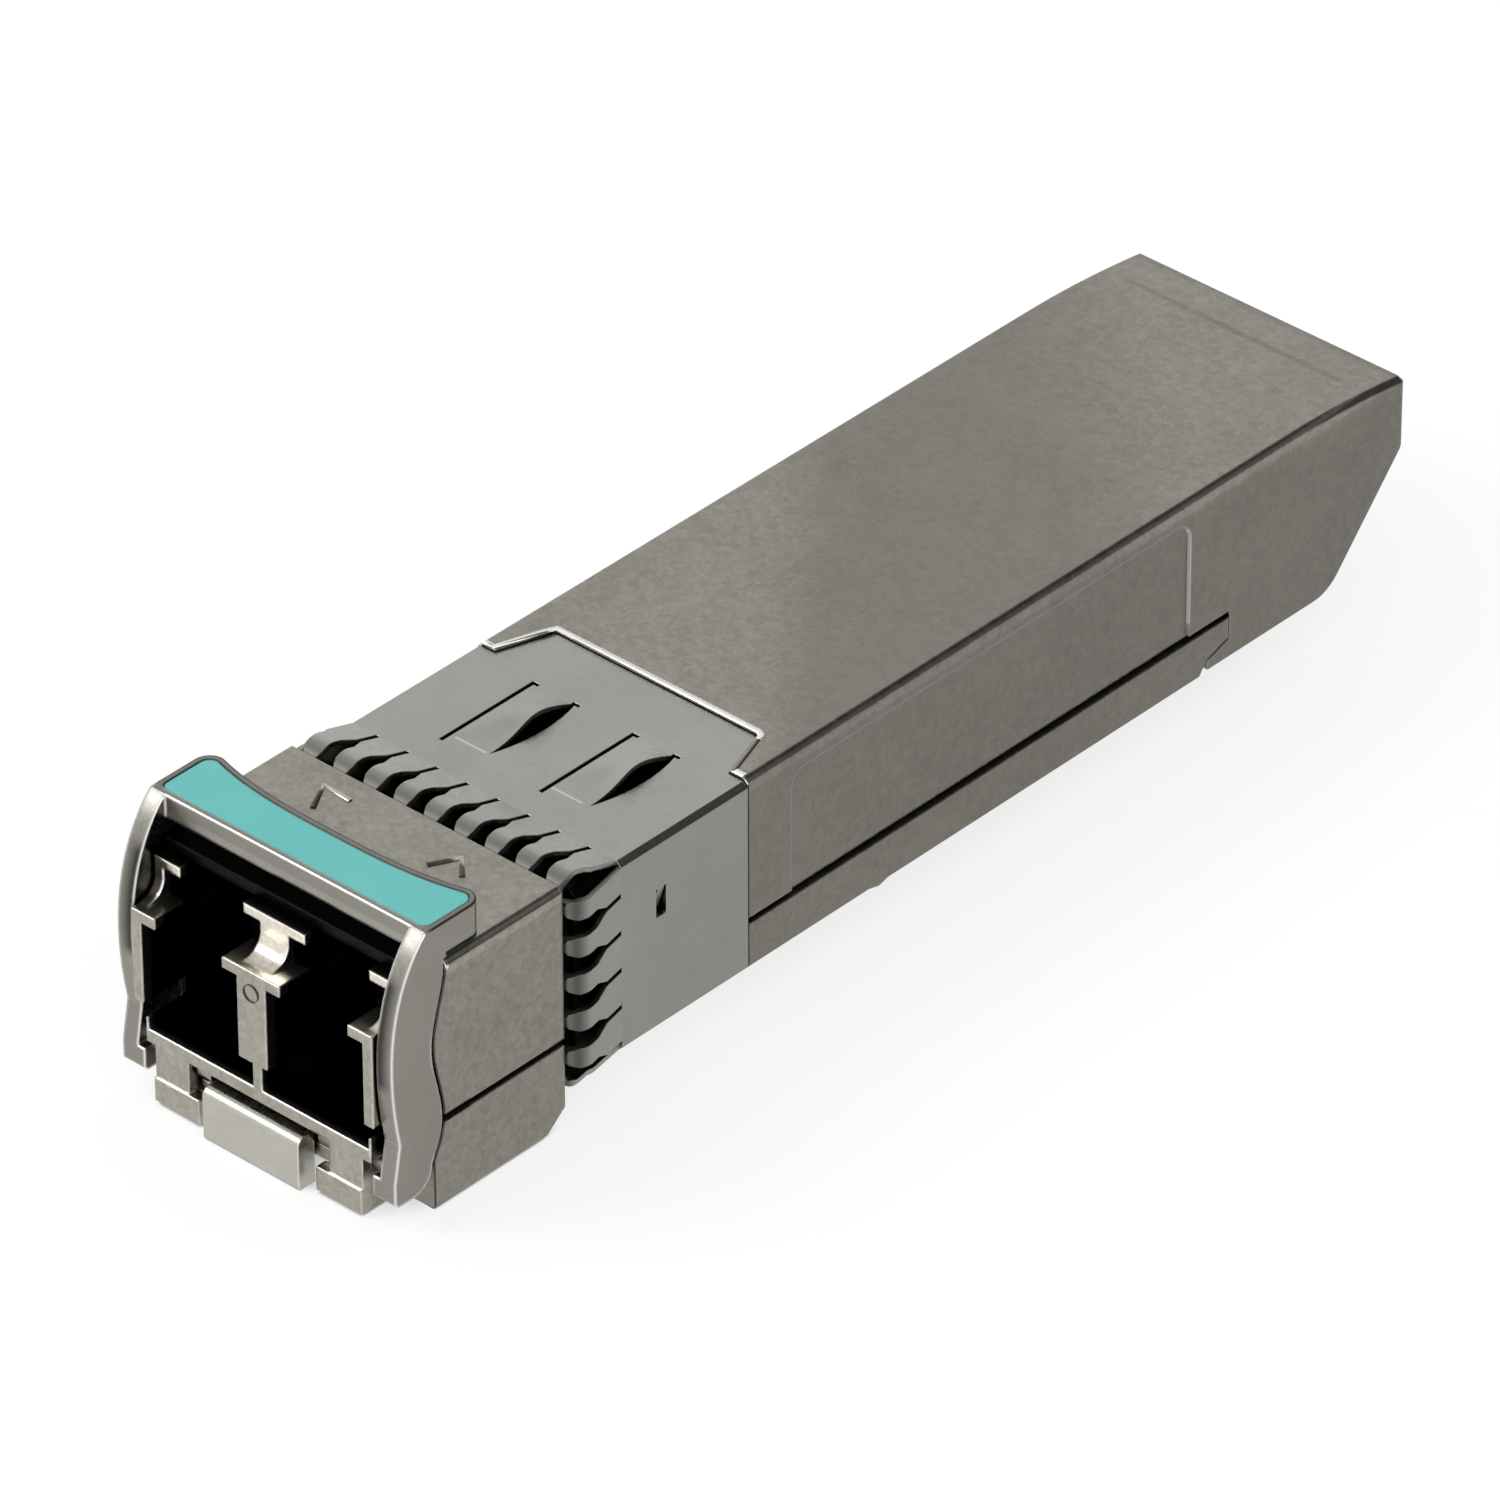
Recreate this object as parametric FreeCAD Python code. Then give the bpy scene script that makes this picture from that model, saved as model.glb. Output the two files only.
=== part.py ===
import FreeCAD, Part
import os
from math import acos, atan2, cos, pi, sin, sqrt, tan

# Pluggable optical transceiver with a release bail, in millimetres.
# X is to the right seen from the front, Y runs from the ports to the edge connector, Z is up.
# While modelling, Y is 0 at the stop shoulder behind the nose and Z is 0 at the nose's underside.

V = FreeCAD.Vector

# Clearances, and how far a cutting tool passes the face it cuts
fit_gap = 0.06
running_gap = 0.03
press_gap = 0.01
beyond = 1.0

# Optical ports
port_pitch = 6.25
port_width = 4.85
port_wall = 0.45
port_axis_height = 5.65
port_depth = 9.6
port_back_wall = 1.0
apron_web = 0.6
latch_channel = 3.4
upper_channel = 3.2
ledge_rise = 2.35
ledge_thickness = 0.45
ledge_length = 4.2
upper_setback = 1.26
scoop_setback = 0.35
scoop_rise = 0.25
scoop_radius = 0.75
divider_rise = 0.76

# Housing
nose_length = 9.1
nose_step = 0.45
nose_roof = 0.45
shoulder_step = 0.1
body_length = 47.5
body_lift = 1.65
seam_height = 3.66
seam_line = 0.29
seam_depth = 0.35
side_wall = 0.85
top_wall = 1.05
floor_wall = 0.8
edge_chamfer = 0.22
base_chamfer = 0.12
corner_chamfer = 0.22
skirt_height = 5.1
skirt_slant = 4.4
skirt_rise = 0.2
skirt_round = 0.6
skirt_toe_round = 1.8
rear_corner = 0.3
rear_lead_drop = 0.5
rear_lead_length = 4.0
rear_lead_round = 45.0
heel_length = 1.1
heel_height = 0.9
hook_setback = 10.25
hook_height = 0.96
hook_slope = 0.4
hook_length = 1.25
hook_toe = 0.5
nib_start = 16.8
nib_length = 1.1
nib_drop = 0.15
nib_width = 0.9
panel_depth = 0.1
panel_start = 12.4
panel_length = 22.45
panel_top_margin = 0.95
panel_corner = 0.8

# Front sill and lip
sill_height = 3.15
sill_thickness = 0.55
sill_setback = 0.2
lip_bottom = 0.1
lip_height = 1.1
lip_thickness = 0.5
lip_setback = 0.1
lip_round = 0.12
stem_width = 0.42
stem_length = 1.0

# Release bail
arm_thickness = 0.75
arm_side_gap = 0.1
arm_gap = 0.13
arm_width = 2.05
belly_setback = 0.13
belly_rise = 1.5
neck_setback = 0.85
neck_rise = 0.1
waist_setback = 0.47
waist_drop = 1.85
waist_swell = 0.14
bail_rise = 1.75
bail_thickness = 1.55
bail_front_setback = 2.0
bail_depth = 3.05
bail_waist = 0.6
bail_shoulder = 2.4
bail_shoulder_dip = 0.37
bail_corner = 0.7
bail_lip_height = 1.0
bail_lip_thickness = 0.45
bail_lip_slope = 0.75
bail_pivot_setback = 1.1
bail_pivot_height = 2.15
foot_width = 1.1
foot_radius = 1.0
foot_reach = 0.93
foot_bevel = 0.15
foot_heel = 1.18
foot_heel_rise = 0.4
foot_side_gap = 0.55
bail_pin_diameter = 0.8
cam_diameter = 0.76
cam_throw = 0.22
inlay_border = 0.26
inlay_corner = 0.35
inlay_depth = 0.15
inlay_sink = 0.02

# Latch lever
tab_width = 4.8
tab_height = 2.25
tab_proud = 0.25
tab_thickness = 0.85
tab_round = 0.35
tab_edge = 0.12
tab_side_gap = 0.55
beam_width = 3.8
beam_bottom = 0.75
beam_thickness = 0.8
ear_width = 1.0
ear_length = 0.7
ear_thickness = 0.6
ear_gap = 0.1
lever_pivot_setback = 4.6
lever_pivot_height = 1.6
lever_pin_diameter = 0.8
lever_hub_diameter = 1.5
lever_pin_seat = 0.6
lever_side_gap = 0.3
lever_step = 1.0
lever_slope = 0.9
lever_tail_lift = 0.1
lever_tail_thickness = 0.35
boss_shoulder = 2.5
boss_length = 2.6
boss_width = 2.6
boss_height = 0.45
boss_tip_width = 0.9
boss_flat = 0.7
spring_thickness = 0.12
spring_width = 1.6
spring_seat = 2.0
spring_toe = 0.4
spring_toe_lift = 0.05

# Spring collar
sheet = 0.2
sheet_gap = 0.02
collar_proud = 0.05
collar_sink = 0.12
collar_length = 9.95
tongue_length = 2.45
tongue_root_inset = 0.9
tongue_tip_inset = 1.6
tongue_slope_end = 0.35
tongue_corner = 0.25
finger_pitch = 1.515
side_finger_pitch = 1.64
finger_length = 3.15
finger_slit = 0.2
finger_shoulder = 2.15
finger_neck = 1.55
finger_tip_width = 0.86
finger_tip_round = 0.42
finger_tip_flats = 2
finger_bulge = 0.42
top_finger_bulge = 0.62
finger_roll = 0.85
finger_start = 0.15
top_fingers = 9
side_fingers = 5
side_finger_drop = 0.61
tip_groove_length = 0.9
tip_groove_depth = 0.4
lance_offset = 2.5
lance_width = 2.05
lance_start = 4.5
lance_length = 4.9
lance_crease = 0.55
lance_ease = 0.5
lance_pull = 0.39
lance_rise = 0.55
lance_belly = 0.4
lance_slit = 0.17
lance_hook = 0.36
tang_start = 5.0
tang_height = 1.25
tang_width = 0.55
tang_level = 7.25
tang_bend = 0.3
tang_slit = 0.1
boss_window = 4.0

# Optical subassemblies
barrel_diameter = 2.9
barrel_reach = 4.9
barrel_lip = 0.3
barrel_mouth_diameter = 1.9
barrel_throat_diameter = 1.32
flange_diameter = 4.6
flange_length = 0.8
neck_diameter = 3.2
neck_length = 0.95
can_diameter = 5.2
can_length = 4.1
can_headroom = 0.75
header_diameter = 5.4
header_length = 0.9
sleeve_outer_diameter = 1.64
sleeve_bore_diameter = 1.26
sleeve_length = 3.7
sleeve_slot = 0.2
clamp_thickness = 0.8
clamp_rise = 0.9
clamp_arch = 0.9
flex_thickness = 0.12
flex_width = 3.6
flex_bend = 0.9
flex_rise = 1.35
flex_overlap = 2.1

# Circuit board
board_thickness = 1.0
board_lift = 2.1
board_front = 11.5
board_rear_setback = 3.2
board_side_gap = 0.3
board_corner = 0.4
board_tongue_width = 9.2
board_tongue_length = 6.3
board_ledge = 0.7
board_rib_width = 1.0
pad_count = 10
pad_pitch = 0.8
pad_width = 0.55
pad_length = 2.6
pad_thickness = 0.04
pad_inset = 0.4
small_chip = 3.0
small_chip_height = 0.8
small_chip_offset = 2.9
small_chip_start = 14.6
controller_size = 5.0
controller_height = 0.9
controller_start = 22.5
chip_slope = 0.1
pedestal_margin = 0.25
thermal_pad_thickness = 0.85
thermal_pad_inset = 0.1
passive_length = 1.0
passive_width = 0.5
passive_height = 0.5
passive_pitch = 1.5
passive_count = 7
passive_gap = 1.0

# Places worked out from the sizes
port_offset = port_pitch / 2
port_outer = port_offset + port_width / 2
wall_outer = port_outer + port_wall
arm_inner = wall_outer + arm_side_gap
half_nose = arm_inner + arm_thickness
half_body = half_nose - shoulder_step
cavity_half = half_body - side_wall
front = -nose_length
rear = body_length
ceiling = port_axis_height + header_diameter / 2 + can_headroom
body_top = ceiling + top_wall
nose_top = body_top + nose_step
port_roof = nose_top - nose_roof
floor_top = body_lift + floor_wall
port_end = front + port_depth
cavity_start = port_end + port_back_wall
barrel_hole = barrel_diameter / 2 + fit_gap
apron_bottom = port_axis_height - barrel_hole - apron_web
divider_bottom = seam_height + divider_rise
ledge_bottom = port_axis_height + ledge_rise
ledge_top = ledge_bottom + ledge_thickness
upper_front = front + upper_setback
sill_bottom = sill_height - sill_thickness
lip_top = lip_bottom + lip_height
skirt_bottom = body_lift + skirt_rise
seat_depth = sheet + sheet_gap - collar_proud
roof_depth = sheet + sheet_gap + collar_sink
bail_pivot_y = front + bail_pivot_setback
bail_front = front + bail_front_setback
bail_rear = bail_front + bail_depth
bail_top = nose_top + bail_rise
bail_bottom = bail_top - bail_thickness
foot_inner = half_nose - foot_width
foot_bottom = bail_pivot_height - foot_radius
foot_front = bail_pivot_y - foot_reach
foot_lane = bail_pivot_y + foot_radius + arm_gap
block_half = foot_inner - foot_side_gap
lever_pivot_y = front + lever_pivot_setback
ear_reach = tab_width / 2 + ear_width
tail_end = boss_shoulder + boss_length + lever_side_gap
tail_top = body_lift + lever_tail_lift + lever_tail_thickness
barrel_front = port_end - barrel_reach
flange_start = cavity_start + sheet_gap
neck_start = flange_start + flange_length
can_start = neck_start + neck_length
can_end = can_start + can_length
header_end = can_end + header_length
board_bottom = body_lift + board_lift
board_top = board_bottom + board_thickness
tab_front = front - tab_proud
centre_y = (tab_front + rear) / 2


def side_point(y, z):
    return V(0, y, z)


def plan_point(x, y):
    return V(x, y, 0)


def cross_point(x, z):
    return V(x, 0, z)


def outline(corners, point):
    """Closed wire through corners (a, b) or (a, b, radius), rounded where a radius is given."""
    flat = [V(c[0], c[1], 0) for c in corners]
    radii = [c[2] if len(c) > 2 else 0 for c in corners]
    stretches = []
    for i, corner in enumerate(flat):
        if radii[i] == 0:
            stretches.append([corner])
            continue
        back = flat[i - 1] - corner
        ahead = flat[(i + 1) % len(flat)] - corner
        back.normalize()
        ahead.normalize()
        half = back.getAngle(ahead) / 2
        reach = radii[i] / tan(half)
        middle = back + ahead
        middle.normalize()
        arc_middle = corner + middle * (radii[i] / sin(half) - radii[i])
        stretches.append([corner + back * reach, arc_middle, corner + ahead * reach])
    edges = []
    for i, stretch in enumerate(stretches):
        placed = [point(p.x, p.y) for p in stretch]
        if len(placed) == 3:
            edges.append(arc(*placed))
        following = stretches[(i + 1) % len(stretches)][0]
        target = point(following.x, following.y)
        if placed[-1].distanceToPoint(target) > 1e-6:
            edges.append(line(placed[-1], target))
    return Part.Wire(edges)


def line(start, end):
    return Part.LineSegment(start, end).toShape()


def arc(start, middle, end):
    return Part.Arc(start, middle, end).toShape()


def chain(points, x):
    """Straight edges through points of Y and Z at one X."""
    places = [V(x, y, z) for y, z in points]
    return [line(a, b) for a, b in zip(places, places[1:])]


def smooth(points, x):
    """Smooth edge through points of Y and Z at one X."""
    curve = Part.BSplineCurve()
    curve.interpolate([V(x, y, z) for y, z in points])
    return curve.toShape()


def side_plate(corners, x0, x1):
    """Outline in Y and Z, run across the part from x0 to x1."""
    face = Part.Face(outline(corners, side_point))
    face.translate(V(x0, 0, 0))
    return face.extrude(V(x1 - x0, 0, 0))


def cross_bar(corners, y0, y1):
    """Outline in X and Z, run along the part from y0 to y1."""
    face = Part.Face(outline(corners, cross_point))
    face.translate(V(0, y0, 0))
    return face.extrude(V(0, y1 - y0, 0))


def plan_plate(corners, z0, z1):
    """Outline in X and Y, run upwards from z0 to z1."""
    face = Part.Face(outline(corners, plan_point))
    face.translate(V(0, 0, z0))
    return face.extrude(V(0, 0, z1 - z0))


def block(x0, x1, y0, y1, z0, z1):
    return Part.makeBox(x1 - x0, y1 - y0, z1 - z0, V(x0, y0, z0))


def cross_pin(diameter, x0, x1, y, z):
    return Part.makeCylinder(diameter / 2, x1 - x0, V(x0, y, z), V(1, 0, 0))


def mirrored(shape):
    return shape.mirror(V(0, 0, 0), V(1, 0, 0))


def pair(shape):
    return [shape, mirrored(shape)]


def both_sides(right):
    """Whole outline from its right half, listed from bottom to top or from front to rear."""
    return right + [(-c[0],) + c[1:] for c in reversed(right)]


def save(name, shape):
    shape.translate(V(0, -centre_y, 0))
    shape.exportStep("parts/" + name + ".step")


def chamfered_section(half, bottom, top, cut):
    """Corners of a cross-section with all four corners cut off, as the collar's sheet is folded."""
    return both_sides([(half - cut, bottom), (half, bottom + cut), (half, top - cut), (half - cut, top)])


def body_block():
    """Outside of the body: a lead-in at the rear of its roof, round rear corners and bevelled upper edges."""
    section = both_sides([(half_body - base_chamfer, body_lift), (half_body, body_lift + base_chamfer),
                          (half_body, body_top)])
    side = [
        (0, body_lift),
        (rear, body_lift),
        (rear, body_top - rear_lead_drop),
        (rear - rear_lead_length, body_top, rear_lead_round),
        (0, body_top),
    ]
    plan = both_sides([(half_body, 0), (half_body, rear, rear_corner)])
    body = cross_bar(section, 0, rear).common(side_plate(side, -half_body, half_body))
    body = body.common(plan_plate(plan, body_lift, body_top))
    rim = []
    for edge in body.Edges:
        ends = [v.Point for v in edge.Vertexes]
        high = min(p.z for p in ends) > body_top - rear_lead_drop - press_gap
        across = abs(ends[0].y - ends[-1].y) < press_gap
        if high and (not across or ends[0].y > rear - press_gap):
            rim.append(edge)
    return body.makeChamfer(edge_chamfer, rim)


def envelope():
    """Outside of the closed housing: the nose and the slimmer body behind it."""
    section = both_sides([(half_nose - base_chamfer, 0), (half_nose, base_chamfer),
                          (half_nose, nose_top - edge_chamfer), (half_nose - edge_chamfer, nose_top)])
    return cross_bar(section, front, 0).fuse(body_block())


def ring_groove(y0, y1, extra):
    """Room right round the body between two places for the collar's sheet, and deeper by an extra."""
    core = chamfered_section(half_body - seat_depth - extra, body_lift + seat_depth + extra,
                             body_top - roof_depth - extra, corner_chamfer)
    edge = half_nose + beyond
    return block(-edge, edge, y0, y1, -beyond, nose_top + beyond).cut(cross_bar(core, y0, y1))


def collar_seat():
    """Room for the collar's sheet and, deeper, for the rolled tips of its fingers."""
    sheet_room = ring_groove(0, collar_length + fit_gap, 0)
    return sheet_room.fuse(ring_groove(0, tip_groove_length, tip_groove_depth))


def tongue_corners(grow):
    """Plan of the collar's rear tongue, grown outwards for its pocket."""
    root = half_body - tongue_root_inset + grow
    tip = half_body - tongue_tip_inset + grow
    end = collar_length + tongue_length + grow
    return both_sides([(root, collar_length - beyond), (root, collar_length), (tip, end - tongue_slope_end),
                       (tip, end, tongue_corner)])


# The bail's arm bows forward round the port mouths and draws back above its foot.
# The nose panel behind the arm follows the same curve.
belly = (front + belly_setback, port_axis_height + belly_rise)
neck = (front + neck_setback, nose_top + neck_rise)
waist = (front + waist_setback, port_axis_height - waist_drop)
heel = (bail_pivot_y + foot_heel, bail_pivot_height + foot_heel_rise)
arm_front = [(bail_front, bail_top), neck, belly, waist]
arm_rear = [
    (neck[0] + arm_width, bail_bottom),
    (neck[0] + arm_width, neck[1]),
    (belly[0] + arm_width, belly[1]),
    (waist[0] + arm_width + waist_swell, waist[1]),
    heel,
]


def arm_lane(x_inner):
    """Room beside the nose that the right arm and foot of the bail lie in."""
    edge = [(y + arm_gap, z) for y, z in arm_rear]
    rest = [
        edge[-1],
        (foot_lane, bail_pivot_height),
        (foot_lane, -beyond),
        (front - beyond, -beyond),
        (front - beyond, nose_top + beyond),
        (edge[0][0], nose_top + beyond),
        edge[0],
    ]
    face = Part.Face(Part.Wire([smooth(edge, x_inner)] + chain(rest, x_inner)))
    return face.extrude(V(half_nose + beyond - x_inner, 0, 0))


def port_mouth():
    """Cross-section of one port, with two pairs of ledges for the plug's latch, at X 0."""
    half = port_width / 2
    channel = latch_channel / 2
    upper = upper_channel / 2
    upper_bottom = port_roof - ledge_thickness
    return both_sides([
        (half, divider_bottom),
        (half, ledge_bottom),
        (channel, ledge_bottom),
        (channel, ledge_top),
        (half, ledge_top),
        (half, upper_bottom),
        (upper, upper_bottom),
        (upper, port_roof),
    ])


def upper_housing():
    hook_y = rear - hook_setback
    side = [
        (front, seam_height),
        (hook_y, seam_height),
        (hook_y, seam_height - hook_height),
        (hook_y - hook_length, seam_height - hook_height - hook_slope),
        (hook_y - hook_length, skirt_bottom),
        (rear - skirt_slant, skirt_bottom, skirt_toe_round),
        (rear, body_lift + skirt_height, skirt_round),
        (rear, nose_top),
        (front, nose_top),
    ]
    shell = envelope().common(side_plate(side, -half_nose, half_nose))

    # Cavity behind the ports, open at the rear
    shell = shell.cut(block(-cavity_half, cavity_half, cavity_start, rear + beyond, 0, ceiling))

    # Ports: ledged mouths, plain wells behind them and holes for the barrels.
    # The wall round the holes reaches down past them into the base.
    shell = shell.fuse(block(-port_outer, port_outer, port_end, cavity_start, apron_bottom, port_axis_height))
    for x in (-port_offset, port_offset):
        mouth = cross_bar(port_mouth(), front - beyond, front + ledge_length)
        mouth.translate(V(x, 0, 0))
        well = block(x - port_width / 2, x + port_width / 2, front + ledge_length, port_end,
                     divider_bottom, ledge_bottom)
        hole = Part.makeCylinder(barrel_hole, port_back_wall + 2 * beyond,
                                 V(x, port_end - beyond, port_axis_height), V(0, 1, 0))
        shell = shell.cut([mouth, well, hole])
    shell = shell.cut(block(-port_outer, port_outer, front, port_end, 0, divider_bottom))
    shell = shell.cut(block(-wall_outer, wall_outer, front, foot_lane, 0, divider_bottom))

    # The mouth steps back above the lower ledges in a hollow curve
    step = [
        (front - beyond, ledge_top),
        (front + scoop_setback, ledge_top),
        (upper_front, ledge_top + scoop_rise, scoop_radius),
        (upper_front, nose_top + beyond),
        (front - beyond, nose_top + beyond),
    ]
    shell = shell.cut(side_plate(step, -half_nose, half_nose))
    brow = bail_front - arm_gap
    shell = shell.cut(block(-half_nose, half_nose, upper_front, brow, port_roof, nose_top + beyond))

    shell = shell.cut(pair(arm_lane(wall_outer)))

    # Collar seat, tongue pocket and tang pockets
    shell = shell.cut(collar_seat())
    shell = shell.cut(plan_plate(tongue_corners(fit_gap), body_top - roof_depth, body_top + beyond))
    tang_half = tang_height / 2 + fit_gap
    tang_room = block(half_body - seat_depth - tang_bend - fit_gap, half_body, tang_start - fit_gap,
                      tang_start + tang_width + fit_gap, tang_level - tang_half, tang_level + tang_half)
    shell = shell.cut(pair(tang_room))

    # Sunk side panels and the shadow line along the seam
    panel_end = panel_start + panel_length
    panel_top = body_top - panel_top_margin
    panel = [
        (panel_start, 0),
        (panel_end, 0),
        (panel_end, panel_top, panel_corner),
        (panel_start, panel_top, panel_corner),
    ]
    panel_room = side_plate(panel, half_body - panel_depth, half_nose)
    panel_room = panel_room.cut(block(0, half_nose, panel_start, rear, 0, seam_height - hook_height))
    shell = shell.cut(pair(panel_room))
    shadow = block(half_body - seam_depth, half_nose, front, hook_y, 0, seam_height + seam_line)
    shadow = shadow.cut(block(0, half_nose, hook_y - hook_length - hook_toe, rear, 0, seam_height))
    shell = shell.cut(pair(shadow))

    # Pedestal over the laser driver and ribs that hold the board down
    seat = small_chip / 2 + pedestal_margin
    middle = small_chip_start + small_chip / 2
    pedestal = block(-small_chip_offset - seat, -small_chip_offset + seat, middle - seat, middle + seat,
                     board_top + small_chip_height + thermal_pad_thickness, ceiling)
    shell = shell.fuse(pedestal)
    for start in (board_front + flex_overlap + fit_gap, hook_y - board_rib_width):
        rib = block(cavity_half - board_ledge, cavity_half, start, start + board_rib_width,
                    board_top + press_gap, ceiling)
        shell = shell.fuse(pair(rib))
    return shell.removeSplitter()


def lower_housing():
    hook_y = rear - hook_setback - fit_gap
    hook_start = hook_y - hook_length - hook_toe
    side = [
        (front + sill_setback, 0),
        (-heel_length, 0),
        (0, heel_height),
        (0, body_lift),
        (hook_start, body_lift),
        (hook_y - hook_length, seam_height - hook_height - hook_slope + fit_gap),
        (hook_y, seam_height - hook_height + fit_gap),
        (hook_y, seam_height),
        (front + sill_setback, seam_height),
    ]
    shell = envelope().common(side_plate(side, -half_nose, half_nose))

    # Tray behind the ports, with ledges for the board along both walls
    shell = shell.cut(block(-cavity_half, cavity_half, cavity_start, rear, floor_top, seam_height + beyond))
    ledge = block(cavity_half - board_ledge, cavity_half, board_front, hook_start, floor_top, board_bottom)
    shell = shell.fuse(pair(ledge))

    # Port floor with the thin stem under the divider, and room for the cover's wall round the barrels
    shell = shell.cut(block(-port_outer, port_outer, front, port_end, sill_height, seam_height + beyond))
    apron_half = port_outer + fit_gap
    shell = shell.cut(block(-apron_half, apron_half, port_end - fit_gap, cavity_start,
                            apron_bottom - fit_gap, seam_height + beyond))
    stem_start = front + sill_setback
    stem = block(-stem_width / 2, stem_width / 2, stem_start, stem_start + stem_length, sill_height,
                 divider_bottom - sheet_gap)
    shell = shell.fuse(stem)

    # Lanes for the arms of the bail, and below the sill for its feet
    shell = shell.cut(pair(arm_lane(foot_inner - arm_gap)))
    foot_room = block(block_half, half_nose + beyond, front - beyond, foot_lane, -beyond, sill_bottom)
    shell = shell.cut(pair(foot_room))

    # Front lip below the sill, left and right of the tab
    lip_front = front + lip_setback
    lip_back = lip_front + lip_thickness
    lip_start = tab_width / 2 + tab_side_gap
    lip = side_plate([(lip_front, lip_bottom, lip_round), (lip_back, lip_bottom), (lip_back, lip_top),
                      (lip_front, lip_top)], lip_start, block_half)
    shell = shell.cut(block(-half_nose, half_nose, front - beyond, foot_lane, -beyond, lip_bottom))
    shell = shell.fuse(pair(lip))

    # Channel for the latch lever, open below, with a wider pocket for its ears and the cams
    pocket_half = ear_reach + arm_gap
    beam_half = beam_width / 2 + lever_side_gap
    tail_half = boss_width / 2 + lever_side_gap
    shell = shell.cut([
        block(-pocket_half, pocket_half, lip_back, foot_lane, -beyond, sill_bottom),
        block(-pocket_half, pocket_half, front - beyond, lip_back, lip_top, sill_bottom),
        block(-lip_start, lip_start, front - beyond, lip_back, -beyond, sill_bottom),
        block(-beam_half, beam_half, lip_back, -heel_length, -beyond, sill_bottom),
        block(-tail_half, tail_half, lip_back, tail_end + lever_side_gap, -beyond, sill_bottom),
    ])

    # Bores for the bail pins and seats for the lever's cross pin
    bail_bore = cross_pin(bail_pin_diameter + 2 * running_gap, ear_reach, half_nose,
                          bail_pivot_y, bail_pivot_height)
    seat = beam_half + lever_pin_seat
    lever_bore = cross_pin(lever_pin_diameter + 2 * press_gap, -seat, seat,
                           lever_pivot_y, lever_pivot_height)
    shell = shell.cut(pair(bail_bore) + [lever_bore])

    shell = shell.cut(collar_seat())

    # Small stop nibs under both edges
    nib = [(nib_start, body_lift), (nib_start + nib_length / 2, body_lift - nib_drop),
           (nib_start + nib_length, body_lift)]
    nib_outer = half_body - base_chamfer
    shell = shell.fuse(pair(side_plate(nib, nib_outer - nib_width, nib_outer)))
    return shell.removeSplitter()


def bail_plan(inset, low, high):
    """Plate of the bail's top bar, waisted at its rear edge and drawn in by an inset."""
    edge = half_nose - inset
    near = bail_front + inset
    far = bail_rear - inset
    corner = bail_corner - inset
    tuck = corner * (1 - sqrt(0.5))
    right = [V(edge, far - corner, low), V(edge - tuck, far - tuck, low), V(edge - corner, far, low)]
    left = [V(-p.x, p.y, p.z) for p in reversed(right)]
    shoulder_x = edge + inset - bail_shoulder
    shoulder_y = far - bail_shoulder_dip
    dip = [V(shoulder_x, shoulder_y, low), V(0, far - bail_waist, low), V(-shoulder_x, shoulder_y, low)]
    sweep = Part.BSplineCurve()
    sweep.interpolate([right[2]] + dip + [left[0]])
    edges = [
        line(V(-edge, near, low), V(edge, near, low)),
        line(V(edge, near, low), right[0]),
        arc(*right),
        sweep.toShape(),
        arc(*left),
        line(left[2], V(-edge, near, low)),
    ]
    return Part.Face(Part.Wire(edges)).extrude(V(0, 0, high - low))


def inlay_plate(inset, low, high):
    """Plate with the inlay's outline: as the bar, with its front corners rounded."""
    plate = bail_plan(inset, low, high)
    near = bail_front + inset
    upright = [e for e in plate.Edges if abs(e.CenterOfMass.y - near) < 1e-6 and abs(e.CenterOfMass.x) > 1e-6]
    return plate.makeFillet(inlay_corner, upright)


def bail():
    bar = bail_plan(0, bail_bottom, bail_top)
    lip_bottom_z = bail_top - bail_lip_height
    lip_back = bail_front + bail_lip_thickness
    relief = [
        (bail_front - beyond, bail_bottom - beyond),
        (lip_back + bail_lip_slope, bail_bottom - beyond),
        (lip_back + bail_lip_slope, bail_bottom),
        (lip_back, lip_bottom_z),
        (bail_front - beyond, lip_bottom_z),
    ]
    bar = bar.cut(side_plate(relief, -arm_inner, arm_inner))

    # Arm on the right, with a round foot about the pivot
    x = arm_inner
    tuck = foot_radius * sqrt(0.5)
    round_foot = [
        V(x, bail_pivot_y + foot_radius, bail_pivot_height),
        V(x, bail_pivot_y + tuck, bail_pivot_height - tuck),
        V(x, bail_pivot_y, foot_bottom),
    ]
    toe = [
        (bail_pivot_y, foot_bottom),
        (foot_front + foot_bevel, foot_bottom),
        (foot_front, foot_bottom + foot_bevel),
        (foot_front, bail_pivot_height),
    ]
    top = [(bail_front, bail_top), (bail_front + arm_width, bail_top), arm_rear[0]]
    edges = [smooth(arm_front, x)] + chain(top, x) + [smooth(arm_rear, x)]
    edges += chain([heel, (bail_pivot_y + foot_radius, bail_pivot_height)], x)
    edges += [arc(*round_foot)] + chain(toe + [waist], x)
    arm = Part.Face(Part.Wire(edges)).extrude(V(arm_thickness, 0, 0))

    # The foot reaches further in than the arm and holds the pivot pin
    crown = chain([toe[-1], (bail_pivot_y + foot_radius, bail_pivot_height)], x)
    foot = Part.Face(Part.Wire([arc(*round_foot)] + chain(toe, x) + crown))
    foot = foot.extrude(V(foot_inner - x, 0, 0))
    arm = arm.fuse(foot)
    pin_end = half_nose - arm_thickness / 2
    arm = arm.cut(cross_pin(bail_pin_diameter + 2 * press_gap, foot_inner - beyond, pin_end, bail_pivot_y,
                            bail_pivot_height))
    frame = bar.fuse(pair(arm))
    return frame.cut(inlay_plate(inlay_border, bail_top - inlay_depth, bail_top + beyond)).removeSplitter()


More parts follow.
